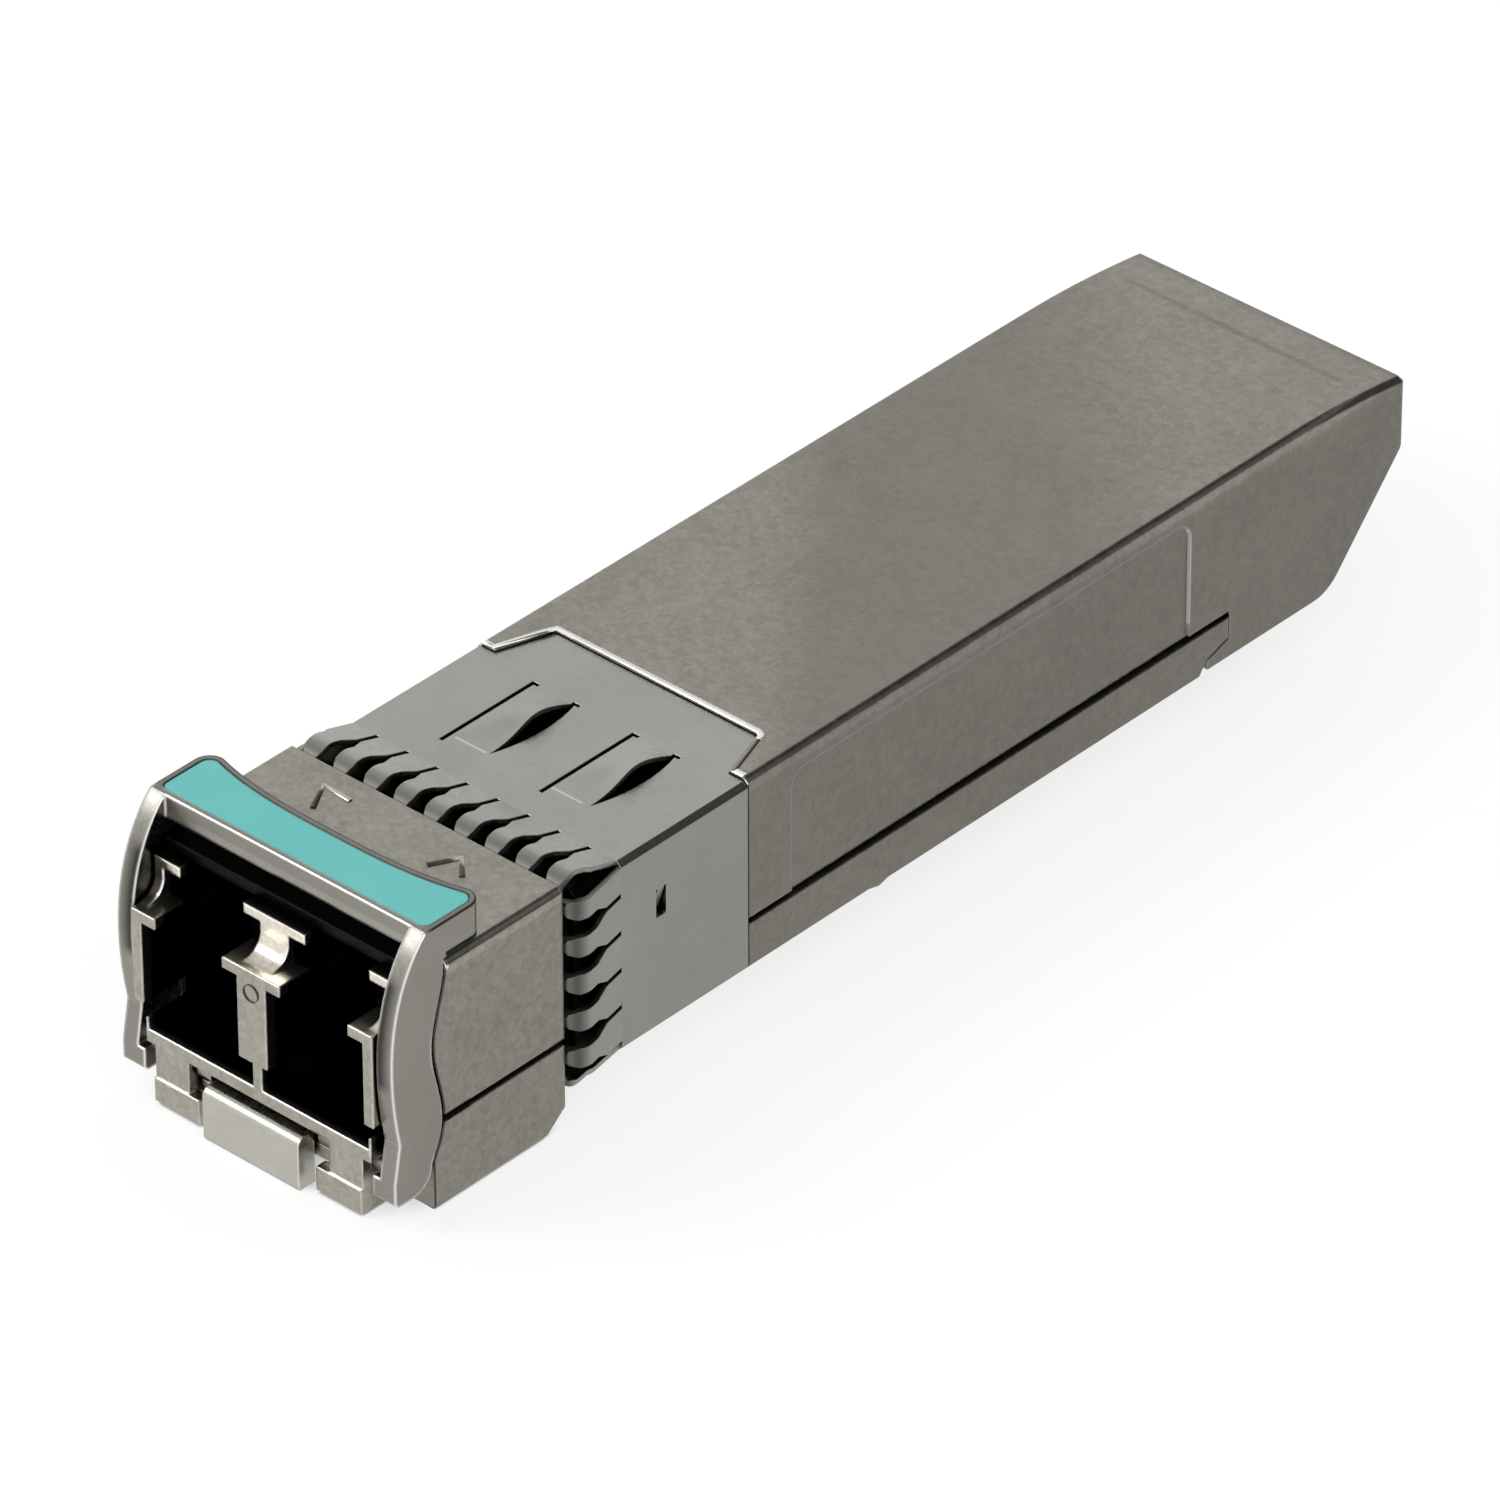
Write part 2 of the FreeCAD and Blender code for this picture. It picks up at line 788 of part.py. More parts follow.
def bail_inlay():
    return inlay_plate(inlay_border + press_gap, bail_top - inlay_depth, bail_top - inlay_sink)


def bail_pins():
    """Pivot pins of the bail. The inner end of each is an eccentric that tips the lever."""
    cam_start = tab_width / 2 + lever_side_gap
    pin_end = half_nose - arm_thickness / 2 - press_gap
    pin = cross_pin(bail_pin_diameter, ear_reach, pin_end, bail_pivot_y, bail_pivot_height)
    cam = cross_pin(cam_diameter, cam_start, ear_reach, bail_pivot_y - cam_throw, bail_pivot_height)
    return Part.Compound(pair(pin.fuse(cam)))


def latch_lever():
    tab_back = tab_front + tab_thickness
    tab = side_plate([(tab_front, 0, tab_edge), (tab_back, 0), (tab_back, tab_height),
                      (tab_front, tab_height, tab_round)], -tab_width / 2, tab_width / 2)
    beam_top = beam_bottom + beam_thickness
    beam_end = -heel_length - lever_side_gap
    beam = block(-beam_width / 2, beam_width / 2, tab_back, beam_end, beam_bottom, beam_top)

    # Tail that steps up under the body, with the wedge-shaped boss at its end
    tail_bottom = body_lift + lever_tail_lift
    step = beam_end - lever_step
    tail = [
        (step, beam_bottom),
        (beam_end, beam_bottom),
        (beam_end + lever_slope, tail_bottom),
        (tail_end, tail_bottom),
        (tail_end, tail_top),
        (beam_end, tail_top),
        (step, beam_top),
    ]
    tail = side_plate(tail, -boss_width / 2, boss_width / 2)
    boss_end = boss_shoulder + boss_length
    boss_bottom = body_lift - boss_height
    boss = plan_plate(both_sides([(boss_width / 2, boss_shoulder), (boss_tip_width / 2, boss_end)]),
                      boss_bottom, tail_top)
    ramp = [(boss_shoulder + boss_flat, boss_bottom), (boss_end, boss_bottom), (boss_end, body_lift)]
    ramp = side_plate(ramp, -boss_width, boss_width)
    boss = boss.cut(ramp)

    # Ears under the eccentrics and the hub on the cross pin
    ear_top = bail_pivot_height - cam_diameter / 2 - ear_gap
    ear_y = bail_pivot_y - ear_length / 2
    ears = block(-ear_reach, ear_reach, ear_y, ear_y + ear_length, ear_top - ear_thickness, ear_top)
    hub = cross_pin(lever_hub_diameter, -beam_width / 2, beam_width / 2, lever_pivot_y, lever_pivot_height)
    lever = tab.fuse([beam, tail, boss, ears, hub])
    bore = cross_pin(lever_pin_diameter + 2 * running_gap, -beam_width, beam_width,
                     lever_pivot_y, lever_pivot_height)
    return lever.cut(bore).removeSplitter()


def lever_pin():
    reach = beam_width / 2 + lever_side_gap + lever_pin_seat - press_gap
    return cross_pin(lever_pin_diameter, -reach, reach, lever_pivot_y, lever_pivot_height)


def latch_spring():
    """Leaf under the port floor that presses on the lever's tail."""
    start = lever_pivot_y + lever_hub_diameter / 2 + lever_side_gap
    bend = start + spring_seat
    tip = boss_shoulder - lever_side_gap
    toe = tail_top + spring_toe_lift
    leaf = [
        (start, sill_bottom),
        (start, sill_bottom - spring_thickness),
        (bend, sill_bottom - spring_thickness),
        (tip, tail_top),
        (tip + spring_toe, toe),
        (tip + spring_toe, toe + spring_thickness),
        (tip, tail_top + spring_thickness),
        (bend, sill_bottom),
    ]
    return side_plate(leaf, -spring_width / 2, spring_width / 2)


def finger(bulge, pitch):
    """One grounding finger at X 0, its sheet's inner face at Z 0: a ramp that rolls down over its tip."""
    root = V(0, finger_length, sheet)
    centre = V(0, finger_start + finger_roll, sheet + bulge - finger_roll)
    run = root - centre
    lean = atan2(run.z, run.y) + acos(finger_roll / run.Length)
    outward = V(0, cos(lean), sin(lean))
    crest = V(0, 0, 1)
    tip = V(0, -1, 0)
    shoulder = (crest + tip).normalize()
    bore = finger_roll - sheet
    hollow = [centre + way * bore for way in (tip, shoulder, crest, outward)]
    under = root - outward * sheet
    heel_corner = V(0, finger_length, 0)
    edges = [
        line(root, centre + outward * finger_roll),
        arc(centre + outward * finger_roll, centre + crest * finger_roll, centre + tip * finger_roll),
        line(centre + tip * finger_roll, hollow[0]),
    ]
    edges += [line(a, b) for a, b in zip(hollow, hollow[1:])]
    edges += [
        line(hollow[-1], under),
        line(under, heel_corner),
        line(heel_corner, root),
    ]
    half_root = (pitch - finger_slit) / 2
    strip = Part.Face(Part.Wire(edges))
    strip.translate(V(-half_root, 0, 0))
    strip = strip.extrude(V(2 * half_root, 0, 0))
    half_tip = finger_tip_width / 2
    turns = [i * pi / 2 / finger_tip_flats for i in range(finger_tip_flats + 1)]
    right = [(half_tip - finger_tip_round * (1 - sin(turn)), finger_start + finger_tip_round * (1 - cos(turn)))
             for turn in turns]
    plan = both_sides(right + [(half_tip, finger_neck), (half_root, finger_shoulder), (half_root, finger_length)])
    return strip.common(plan_plate(plan, -finger_roll, sheet + finger_roll))


def swell(x, z):
    """Edge along a lanced spring that starts level, swells up and comes down again at the rear."""
    y0 = lance_start + lance_crease
    y1 = lance_start + lance_length
    run = y1 - y0
    curve = Part.BezierCurve()
    curve.setPoles([V(x, y0, z), V(x, y0 + run * lance_ease, z),
                    V(x, y0 + run * lance_pull, z + lance_rise * 9 / 4), V(x, y1, z)])
    return curve.toShape()


def lance(left):
    """Lanced spring of the collar's top: its left edge stays level and its right edge swells up."""
    y0 = lance_start + lance_crease
    y1 = lance_start + lance_length
    x1 = left + lance_width
    level = chain([(y0, 0), (y1, 0), (y1, sheet), (y0, sheet), (y0, 0)], left + lance_slit)
    swollen = [swell(x1, 0)] + chain([(y1, 0), (y1, sheet)], x1)
    swollen += [swell(x1, sheet)] + chain([(y0, sheet), (y0, 0)], x1)
    return Part.makeLoft([Part.Wire(level), Part.Wire(swollen)], True, True)


def lance_slot(left, low):
    """Opening in the sheet round a lanced spring: an eye on its right and hooked ends at its rear."""
    y0 = lance_start + lance_crease
    y1 = lance_start + lance_length
    x1 = left + lance_width
    eye = [
        line(V(left, y0, low), V(x1, y0, low)),
        arc(V(x1, y0, low), V(x1 + lance_belly, (y0 + y1) / 2, low), V(x1 + lance_slit, y1, low)),
        line(V(x1 + lance_slit, y1, low), V(left, y1, low)),
        line(V(left, y1, low), V(left, y0, low)),
    ]
    eye = Part.Face(Part.Wire(eye)).extrude(V(0, 0, sheet))
    high = low + sheet
    slit = block(left, left + lance_slit, lance_start, y1, low, high)
    hooks = [block(x, x + lance_hook, y1, y1 + lance_slit, low, high) for x in (left, x1)]
    return eye.fuse([slit] + hooks)


def emi_collar():
    outer_half = half_body + collar_proud
    inner_half = outer_half - sheet
    top = body_top - collar_sink
    bottom = body_lift - collar_proud
    fold = corner_chamfer - sheet * (2 - sqrt(2))
    outer = cross_bar(chamfered_section(outer_half, bottom, top, corner_chamfer), finger_length, collar_length)
    inner = cross_bar(chamfered_section(inner_half, bottom + sheet, top - sheet, fold),
                      finger_length - beyond, collar_length + beyond)
    ring = outer.cut(inner).fuse(plan_plate(tongue_corners(0), top - sheet, top))

    # Fingers along all four sides, the end ones cut off square at the folded corners
    flat_half = outer_half - corner_chamfer
    flat = block(-flat_half, flat_half, 0, finger_length, -finger_roll, finger_roll + sheet)
    one = finger(finger_bulge, finger_pitch)
    tall = finger(top_finger_bulge, finger_pitch)
    beside = finger(finger_bulge, side_finger_pitch)
    placed = []
    for i in range(top_fingers):
        x = (i - (top_fingers - 1) / 2) * finger_pitch
        upper = tall.copy()
        upper.translate(V(x, 0, 0))
        upper = upper.common(flat)
        upper.translate(V(0, 0, top - sheet))
        placed.append(upper)
        if abs(x) - finger_pitch / 2 > boss_window / 2 - finger_slit:
            lower = one.copy()
            lower.translate(V(x, 0, 0))
            lower = lower.common(flat)
            lower.rotate(V(0, 0, 0), V(0, 1, 0), 180)
            lower.translate(V(0, 0, bottom + sheet))
            placed.append(lower)
    side_limit = block(0, half_nose + beyond, 0, finger_length, bottom + corner_chamfer, top - corner_chamfer)
    for i in range(side_fingers):
        right = beside.copy()
        right.rotate(V(0, 0, 0), V(0, 1, 0), 90)
        right.translate(V(inner_half, 0, top - side_finger_drop - i * side_finger_pitch))
        placed += pair(right.common(side_limit))
    collar = ring.fuse(placed)

    # Window for the locking boss under the body
    half_window = boss_window / 2
    collar = collar.cut(block(-half_window, half_window, 0, tail_end + lever_side_gap, 0, bottom + sheet))

    for centre in (-lance_offset, lance_offset):
        left = centre - lance_width / 2
        strip = lance(left)
        strip.translate(V(0, 0, top - sheet))
        collar = collar.cut(lance_slot(left, top - sheet)).fuse(strip)

    # Tangs bent inwards from both sides lock the collar in the cover
    z0 = tang_level - tang_height / 2
    z1 = tang_level + tang_height / 2
    tang_end = tang_start + tang_width
    window = block(inner_half - beyond, outer_half + beyond, tang_start, tang_end, z0, z1)
    tang = [
        (outer_half, z1),
        (outer_half - tang_bend, z0 + sheet),
        (inner_half - tang_bend, z0 + sheet),
        (inner_half, z1),
    ]
    tang = cross_bar(tang, tang_start + tang_slit, tang_end - tang_slit)
    return collar.cut(pair(window)).fuse(pair(tang)).removeSplitter()


def turned(profile, x):
    """Turned piece on a port axis, from corners of distance along Y and radius."""
    face = Part.Face(Part.makePolygon([V(r, y, 0) for y, r in profile + profile[:1]]))
    piece = face.revolve(V(0, 0, 0), V(0, 1, 0), 360)
    piece.translate(V(x, 0, port_axis_height))
    return piece


def barrel(x):
    """Ferrule barrel with the flange that stops it in the port's back wall."""
    bore = sleeve_outer_diameter / 2 + press_gap
    sleeve_start = barrel_front + barrel_lip
    sleeve_end = sleeve_start + sleeve_length
    profile = [
        (barrel_front, barrel_mouth_diameter / 2),
        (barrel_front, barrel_diameter / 2),
        (flange_start, barrel_diameter / 2),
        (flange_start, flange_diameter / 2),
        (neck_start, flange_diameter / 2),
        (neck_start, neck_diameter / 2),
        (can_start, neck_diameter / 2),
        (can_start, 0),
        (sleeve_end, 0),
        (sleeve_end, bore),
        (sleeve_start, bore),
        (sleeve_start, barrel_throat_diameter / 2),
    ]
    return turned(profile, x)


def sleeve(x):
    """Split sleeve that lines up the plug's ferrule."""
    start = barrel_front + barrel_lip + press_gap
    end = start + sleeve_length - 2 * press_gap
    inner = sleeve_bore_diameter / 2
    outer = sleeve_outer_diameter / 2
    tube = turned([(start, inner), (start, outer), (end, outer), (end, inner)], x)
    half_slot = sleeve_slot / 2
    return tube.cut(block(x - half_slot, x + half_slot, start - beyond, end + beyond, port_axis_height,
                          port_axis_height + sleeve_outer_diameter))


def can(x):
    """Sealed package of the laser or the receiver, on a wider header."""
    start = can_start + press_gap
    profile = [
        (start, 0),
        (start, can_diameter / 2),
        (can_end, can_diameter / 2),
        (can_end, header_diameter / 2),
        (header_end, header_diameter / 2),
        (header_end, 0),
    ]
    return turned(profile, x)


def flex(x):
    """Flexible circuit down the back of the package and onto the board."""
    back = header_end + press_gap
    low = board_top + press_gap
    end = board_front + flex_overlap
    top = port_axis_height + flex_rise
    strip = [
        (back, top),
        (back, low, flex_bend),
        (end, low),
        (end, low + flex_thickness),
        (back + flex_thickness, low + flex_thickness, flex_bend - flex_thickness),
        (back + flex_thickness, top),
    ]
    return side_plate(strip, x - flex_width / 2, x + flex_width / 2)


def optics_clamp():
    """Forked plate that stands in the base behind both flanges, arched over the lever's tail."""
    half = cavity_half - fit_gap
    back = neck_start + clamp_thickness
    top = port_axis_height + clamp_rise
    plate = block(-half, half, neck_start + press_gap, back, floor_top + press_gap, top)
    throat = neck_diameter / 2 + fit_gap
    for x in (-port_offset, port_offset):
        notch = Part.makeCylinder(throat, clamp_thickness, V(x, neck_start, port_axis_height), V(0, 1, 0))
        slot = block(x - throat, x + throat, neck_start, back, port_axis_height, top)
        plate = plate.cut([notch, slot])
    tail_half = boss_width / 2 + lever_side_gap
    return plate.cut(block(-tail_half, tail_half, neck_start, back, 0, floor_top + clamp_arch))


def circuit_board():
    half = cavity_half - board_side_gap
    tongue = board_tongue_width / 2
    end = rear - board_rear_setback
    step = end - board_tongue_length
    right = [(half, board_front), (half, step), (tongue, step, board_corner), (tongue, end, board_corner)]
    return plan_plate(both_sides(right), board_bottom, board_top)


def contact_pads():
    end = rear - board_rear_setback - pad_inset
    pads = []
    for i in range(pad_count):
        left = (i - (pad_count - 1) / 2) * pad_pitch - pad_width / 2
        for low in (board_top, board_bottom - pad_thickness):
            pads.append(block(left, left + pad_width, end - pad_length, end, low, low + pad_thickness))
    return Part.Compound(pads)


def chip(x, y, size, height):
    """Square moulded package whose sides slope in a little towards the top."""
    half = size / 2
    rings = []
    for reach, z in ((half, board_top + press_gap), (half - chip_slope, board_top + height)):
        corners = [(-reach, -reach), (reach, -reach), (reach, reach), (-reach, reach), (-reach, -reach)]
        rings.append(Part.makePolygon([V(x + dx, y + half + dy, z) for dx, dy in corners]))
    return Part.makeLoft(rings, True, True)


def thermal_pad():
    size = small_chip - 2 * thermal_pad_inset
    left = -small_chip_offset - size / 2
    start = small_chip_start + thermal_pad_inset
    low = board_top + small_chip_height + press_gap
    high = board_top + small_chip_height + thermal_pad_thickness - press_gap
    return block(left, left + size, start, start + size, low, high)


def passive_parts():
    """Two rows of small capacitors and resistors, behind the front chips and behind the controller."""
    pieces = []
    for y in (small_chip_start + small_chip + passive_gap, controller_start + controller_size + passive_gap):
        for i in range(passive_count):
            x = (i - (passive_count - 1) / 2) * passive_pitch
            pieces.append(block(x - passive_width / 2, x + passive_width / 2, y, y + passive_length,
                                board_top + press_gap, board_top + passive_height))
    return Part.Compound(pieces)


os.makedirs("parts", exist_ok=True)
save("upper_housing", upper_housing())
save("lower_housing", lower_housing())
save("emi_collar", emi_collar())
save("bail", bail())
save("bail_inlay", bail_inlay())
save("bail_pins", bail_pins())
save("latch_lever", latch_lever())
save("lever_pin", lever_pin())
save("latch_spring", latch_spring())
for name, side in (("tosa", -port_offset), ("rosa", port_offset)):
    save(name + "_barrel", barrel(side))
    save(name + "_sleeve", sleeve(side))
    save(name + "_can", can(side))
    save(name + "_flex", flex(side))
save("optics_clamp", optics_clamp())
save("circuit_board", circuit_board())
save("contact_pads", contact_pads())
save("laser_driver", chip(-small_chip_offset, small_chip_start, small_chip, small_chip_height))
save("receive_amplifier", chip(small_chip_offset, small_chip_start, small_chip, small_chip_height))
save("controller", chip(0, controller_start, controller_size, controller_height))
save("thermal_pad", thermal_pad())
save("passive_parts", passive_parts())
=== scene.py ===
from math import cos, pi, radians, sin

import bpy
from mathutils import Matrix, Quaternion, Vector


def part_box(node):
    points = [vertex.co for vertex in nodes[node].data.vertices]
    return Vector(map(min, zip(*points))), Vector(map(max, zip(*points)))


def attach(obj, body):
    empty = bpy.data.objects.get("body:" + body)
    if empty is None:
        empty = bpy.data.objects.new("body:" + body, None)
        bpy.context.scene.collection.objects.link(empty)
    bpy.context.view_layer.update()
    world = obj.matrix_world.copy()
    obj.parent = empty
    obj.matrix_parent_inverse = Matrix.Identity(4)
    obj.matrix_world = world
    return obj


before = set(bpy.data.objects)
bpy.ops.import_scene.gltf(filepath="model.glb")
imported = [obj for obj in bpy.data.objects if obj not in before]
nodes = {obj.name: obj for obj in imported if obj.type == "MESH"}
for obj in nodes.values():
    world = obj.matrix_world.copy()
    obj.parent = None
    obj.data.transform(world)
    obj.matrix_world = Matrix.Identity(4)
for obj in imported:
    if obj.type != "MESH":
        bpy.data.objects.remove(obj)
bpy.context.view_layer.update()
scene = bpy.context.scene
scene.view_settings.view_transform = "Standard"


# Base casting: the lower half of the housing, with the nose's floor, the front lip and the long side strips.
# It is die-cast zinc under a satin nickel plate, painted lighter at the front as a highlight and painted
# black as shade in its deep hollows.
# A tongue at its rear hooks into the cover.
mm = 0.001
front_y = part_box("upper_housing")[0].y
shoulder_y = front_y + 9.1 * mm
rear_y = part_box("upper_housing")[1].y
tongue_end_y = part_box("emi_collar")[1].y
collar_end_y = tongue_end_y - 2.45 * mm
port_rear_y = shoulder_y + 2 * mm
panel_start_y = shoulder_y + 12.2 * mm
panel_end_y = shoulder_y + 34.85 * mm
sill_z = 3.15 * mm
panel_low_z = 4.5 * mm
panel_high_z = 9.4 * mm
ledge_z = 8.45 * mm
port_roof_z = 10.15 * mm
body_top_z = 10.15 * mm
nose_top_z = 10.6 * mm
port_wall_x = 5.8 * mm
side_x = 6.75 * mm


def place(tree, kind, inputs=None, **settings):
    """A node with its settings, its inputs set or linked by name or by number."""
    node = tree.nodes.new(kind)
    for key, value in settings.items():
        setattr(node, key, value)
    for key, value in (inputs or {}).items():
        if isinstance(value, bpy.types.NodeSocket):
            tree.links.new(value, node.inputs[key])
        else:
            node.inputs[key].default_value = value
    return node


def calc(tree, operation, *values, clamp=False):
    """The result of one operation on one or two values."""
    node = place(tree, "ShaderNodeMath", dict(enumerate(values)), operation=operation, use_clamp=clamp)
    return node.outputs[0]


def agreement(tree, first, second):
    """How far two directions agree, as their dot product."""
    node = place(tree, "ShaderNodeVectorMath", {0: first, 1: second}, operation="DOT_PRODUCT")
    return node.outputs["Value"]


def mix_colours(tree, share, first, second, blend="MIX"):
    node = place(tree, "ShaderNodeMix", {0: share, 6: first, 7: second}, data_type="RGBA", blend_type=blend)
    return node.outputs[2]


def scale_colour(tree, colour, factor):
    return mix_colours(tree, 1.0, colour, (factor, factor, factor, 1.0), "MULTIPLY")


def mix_values(tree, share, first, second):
    return place(tree, "ShaderNodeMix", {0: share, 2: first, 3: second}).outputs[0]


def ramp(tree, value, low, high, to_low=0.0, to_high=1.0):
    """A value brought from one range to another, held at both ends."""
    return place(tree, "ShaderNodeMapRange", {0: value, 1: low, 2: high, 3: to_low, 4: to_high}).outputs[0]


def start_group(name, inputs, outputs):
    """A shared effect: its tree, its inputs by name and its outputs by name."""
    tree = bpy.data.node_groups.new(name, "ShaderNodeTree")
    for label, value in inputs.items():
        tree.interface.new_socket(label, in_out="INPUT", socket_type="NodeSocketFloat").default_value = value
    for label, kind in outputs.items():
        tree.interface.new_socket(label, in_out="OUTPUT", socket_type="NodeSocket" + kind)
    return tree, tree.nodes.new("NodeGroupInput").outputs, tree.nodes.new("NodeGroupOutput").inputs


def use_group(tree, group, **inputs):
    node = place(tree, "ShaderNodeGroup", node_tree=group)
    for label, value in inputs.items():
        node.inputs[label.replace("_", " ")].default_value = value
    return node.outputs


def rounded_edges():
    """Broken edges of metal: the normal that turns over an edge, and where edges and hollow corners lie."""
    tree, given, out = start_group("Rounded edges", {"Radius": 0.1 * mm, "Reach": 0.5 * mm},
                                   {"Normal": "Vector", "Edge": "Float", "Hollow": "Float"})
    flat_agree, edge_agree = 0.995, 0.80
    corner_light, free_light = 0.4, 0.6
    hollow_light, deep_light = 0.46, 0.20
    turned = place(tree, "ShaderNodeBevel", {"Radius": given["Radius"]}, samples=8).outputs[0]
    flat = place(tree, "ShaderNodeNewGeometry").outputs["True Normal"]
    agree = agreement(tree, turned, flat)
    light = place(tree, "ShaderNodeAmbientOcclusion", {"Distance": given["Reach"]}, samples=8).outputs["AO"]
    edge = calc(tree, "MULTIPLY", ramp(tree, agree, flat_agree, edge_agree),
                ramp(tree, light, corner_light, free_light))
    tree.links.new(turned, out["Normal"])
    tree.links.new(edge, out["Edge"])
    tree.links.new(ramp(tree, light, hollow_light, deep_light), out["Hollow"])
    return tree


def plate_grain():
    """Cloudy tarnish and fine pitting of a plated surface."""
    tree, given, out = start_group("Plate grain", {"Cloud size": 5.0 * mm, "Grain size": 0.25 * mm},
                                   {"Clouds": "Float", "Grain": "Float"})
    where = place(tree, "ShaderNodeTexCoord").outputs["Object"]
    clouds = place(tree, "ShaderNodeTexNoise", {
        "Vector": where, "Scale": calc(tree, "DIVIDE", 1.0, given["Cloud size"]), "Detail": 7.0,
        "Roughness": 0.68, "Distortion": 0.2})
    grain = place(tree, "ShaderNodeTexNoise", {
        "Vector": where, "Scale": calc(tree, "DIVIDE", 1.0, given["Grain size"]), "Detail": 2.0,
        "Roughness": 0.55, "Distortion": 1.0})
    tree.links.new(ramp(tree, clouds.outputs[0], 0.32, 0.68), out["Clouds"])
    tree.links.new(ramp(tree, grain.outputs[0], 0.33, 0.67), out["Grain"])
    return tree


def box_mask():
    """One inside a box that is the same on both sides of the middle, falling softly to nothing at its faces.
    A lean slants its front and rear faces across the object."""
    limits = ("Inner X", "Outer X", "Front Y", "Rear Y", "Low Z", "High Z", "Soft", "Soft Y", "Lean")
    tree, given, out = start_group("Inside a box", dict.fromkeys(limits, 0.0), {"Inside": "Float"})
    where = place(tree, "ShaderNodeTexCoord").outputs["Object"]
    axes = place(tree, "ShaderNodeSeparateXYZ", {0: where}).outputs
    side = calc(tree, "ABSOLUTE", axes["X"])
    along = calc(tree, "ADD", axes["Y"], calc(tree, "MULTIPLY", axes["X"], given["Lean"]))
    spans = ((side, "Inner X", "Outer X", "Soft"), (along, "Front Y", "Rear Y", "Soft Y"),
             (axes["Z"], "Low Z", "High Z", "Soft"))
    share = 1.0
    for value, low, high, soft in spans:
        for above, below in ((value, given[low]), (given[high], value)):
            step = calc(tree, "DIVIDE", calc(tree, "SUBTRACT", above, below), given[soft], clamp=True)
            share = calc(tree, "MULTIPLY", share, step)
    tree.links.new(share, out["Inside"])
    return tree


edges_of_metal = rounded_edges()
grain_of_plate = plate_grain()
inside_box = box_mask()


def new_material(name):
    material = bpy.data.materials.new(name)
    material.use_nodes = True
    return material, material.node_tree, material.node_tree.nodes["Principled BSDF"]


def plated(name, light, dark, roughness, edge_radius=0.12, reach=0.5, cloud_size=5.0, grain_size=0.25,
           grain_share=0.4, edge_shine=0.6, hollow_shade=0.08, relief=0.004, metal=1.0, zones=(),
           edge_tones=()):
    """A plated metal finish, sizes in millimetres: two tones in clouds, grain in gloss and relief, edges made
    brighter as wear and painted highlight, and hollows painted dark as shade. Each zone is a box, the factor
    for the tone inside it and the roughness there. The edges inside each box of the last argument turn to the
    tone that goes with it, mostly painted highlights and painted shade."""
    smoothest, grain_roughness = roughness - 0.05, 0.12
    full_tone_edge = 0.6
    edge_tint = (1.0, 0.99, 0.95)
    material, tree, shader = new_material(name)
    shader.inputs["Metallic"].default_value = metal
    edge = use_group(tree, edges_of_metal, Radius=edge_radius * mm, Reach=reach * mm)
    grain = use_group(tree, grain_of_plate, Cloud_size=cloud_size * mm, Grain_size=grain_size * mm)
    tone = mix_values(tree, grain_share, grain["Clouds"], grain["Grain"])
    colour = mix_colours(tree, tone, (*dark, 1.0), (*light, 1.0))
    rough = calc(tree, "ADD", smoothest, calc(tree, "MULTIPLY", grain["Grain"], grain_roughness))
    for box, factor, zone_roughness in zones:
        inside = use_group(tree, inside_box, **box)["Inside"]
        colour = mix_colours(tree, inside, colour, scale_colour(tree, colour, factor))
        rough = mix_values(tree, inside, rough, zone_roughness)
    # Edges are made brighter, partly as wear and partly as a painted highlight.
    colour = mix_colours(tree, edge["Edge"], colour, scale_colour(tree, colour, 1.0 + edge_shine))
    # Edges inside the given boxes take a tone of their own: mostly painted highlights where light and painted
    # shade where dark.
    for box, tone_of_edge in edge_tones:
        inside = use_group(tree, inside_box, **box)["Inside"]
        tone_share = calc(tree, "MULTIPLY", inside, ramp(tree, edge["Edge"], 0.0, full_tone_edge))
        colour = mix_colours(tree, tone_share, colour, (*[tone_of_edge * part for part in edge_tint], 1.0))
    # Hollows and deep corners are painted dark as shade.
    colour = mix_colours(tree, edge["Hollow"], colour, scale_colour(tree, colour, hollow_shade))
    tree.links.new(colour, shader.inputs["Base Color"])
    tree.links.new(rough, shader.inputs["Roughness"])
    bump = place(tree, "ShaderNodeBump", {"Strength": 0.35, "Distance": relief * mm, "Height": grain["Grain"],
                                          "Normal": edge["Normal"]})
    tree.links.new(bump.outputs[0], shader.inputs["Normal"])
    return material


def finish_node(material, *names):
    """Gives CAD pieces their finish."""
    for name in names:
        mesh = nodes[name].data
        mesh.materials.clear()
        mesh.materials.append(material)


far = 100.0 * mm
crisp = 0.05 * mm


def zone(front, rear, low=-far, high=far, inner=-far, outer=far, soft=0.2 * mm, soft_y=None, lean=0.0):
    """A box for a change of finish, on both sides of the middle, with the width of its soft border."""
    return {"Inner_X": inner, "Outer_X": outer, "Front_Y": front, "Rear_Y": rear, "Low_Z": low,
            "High_Z": high, "Soft": soft, "Soft_Y": soft if soft_y is None else soft_y, "Lean": lean}


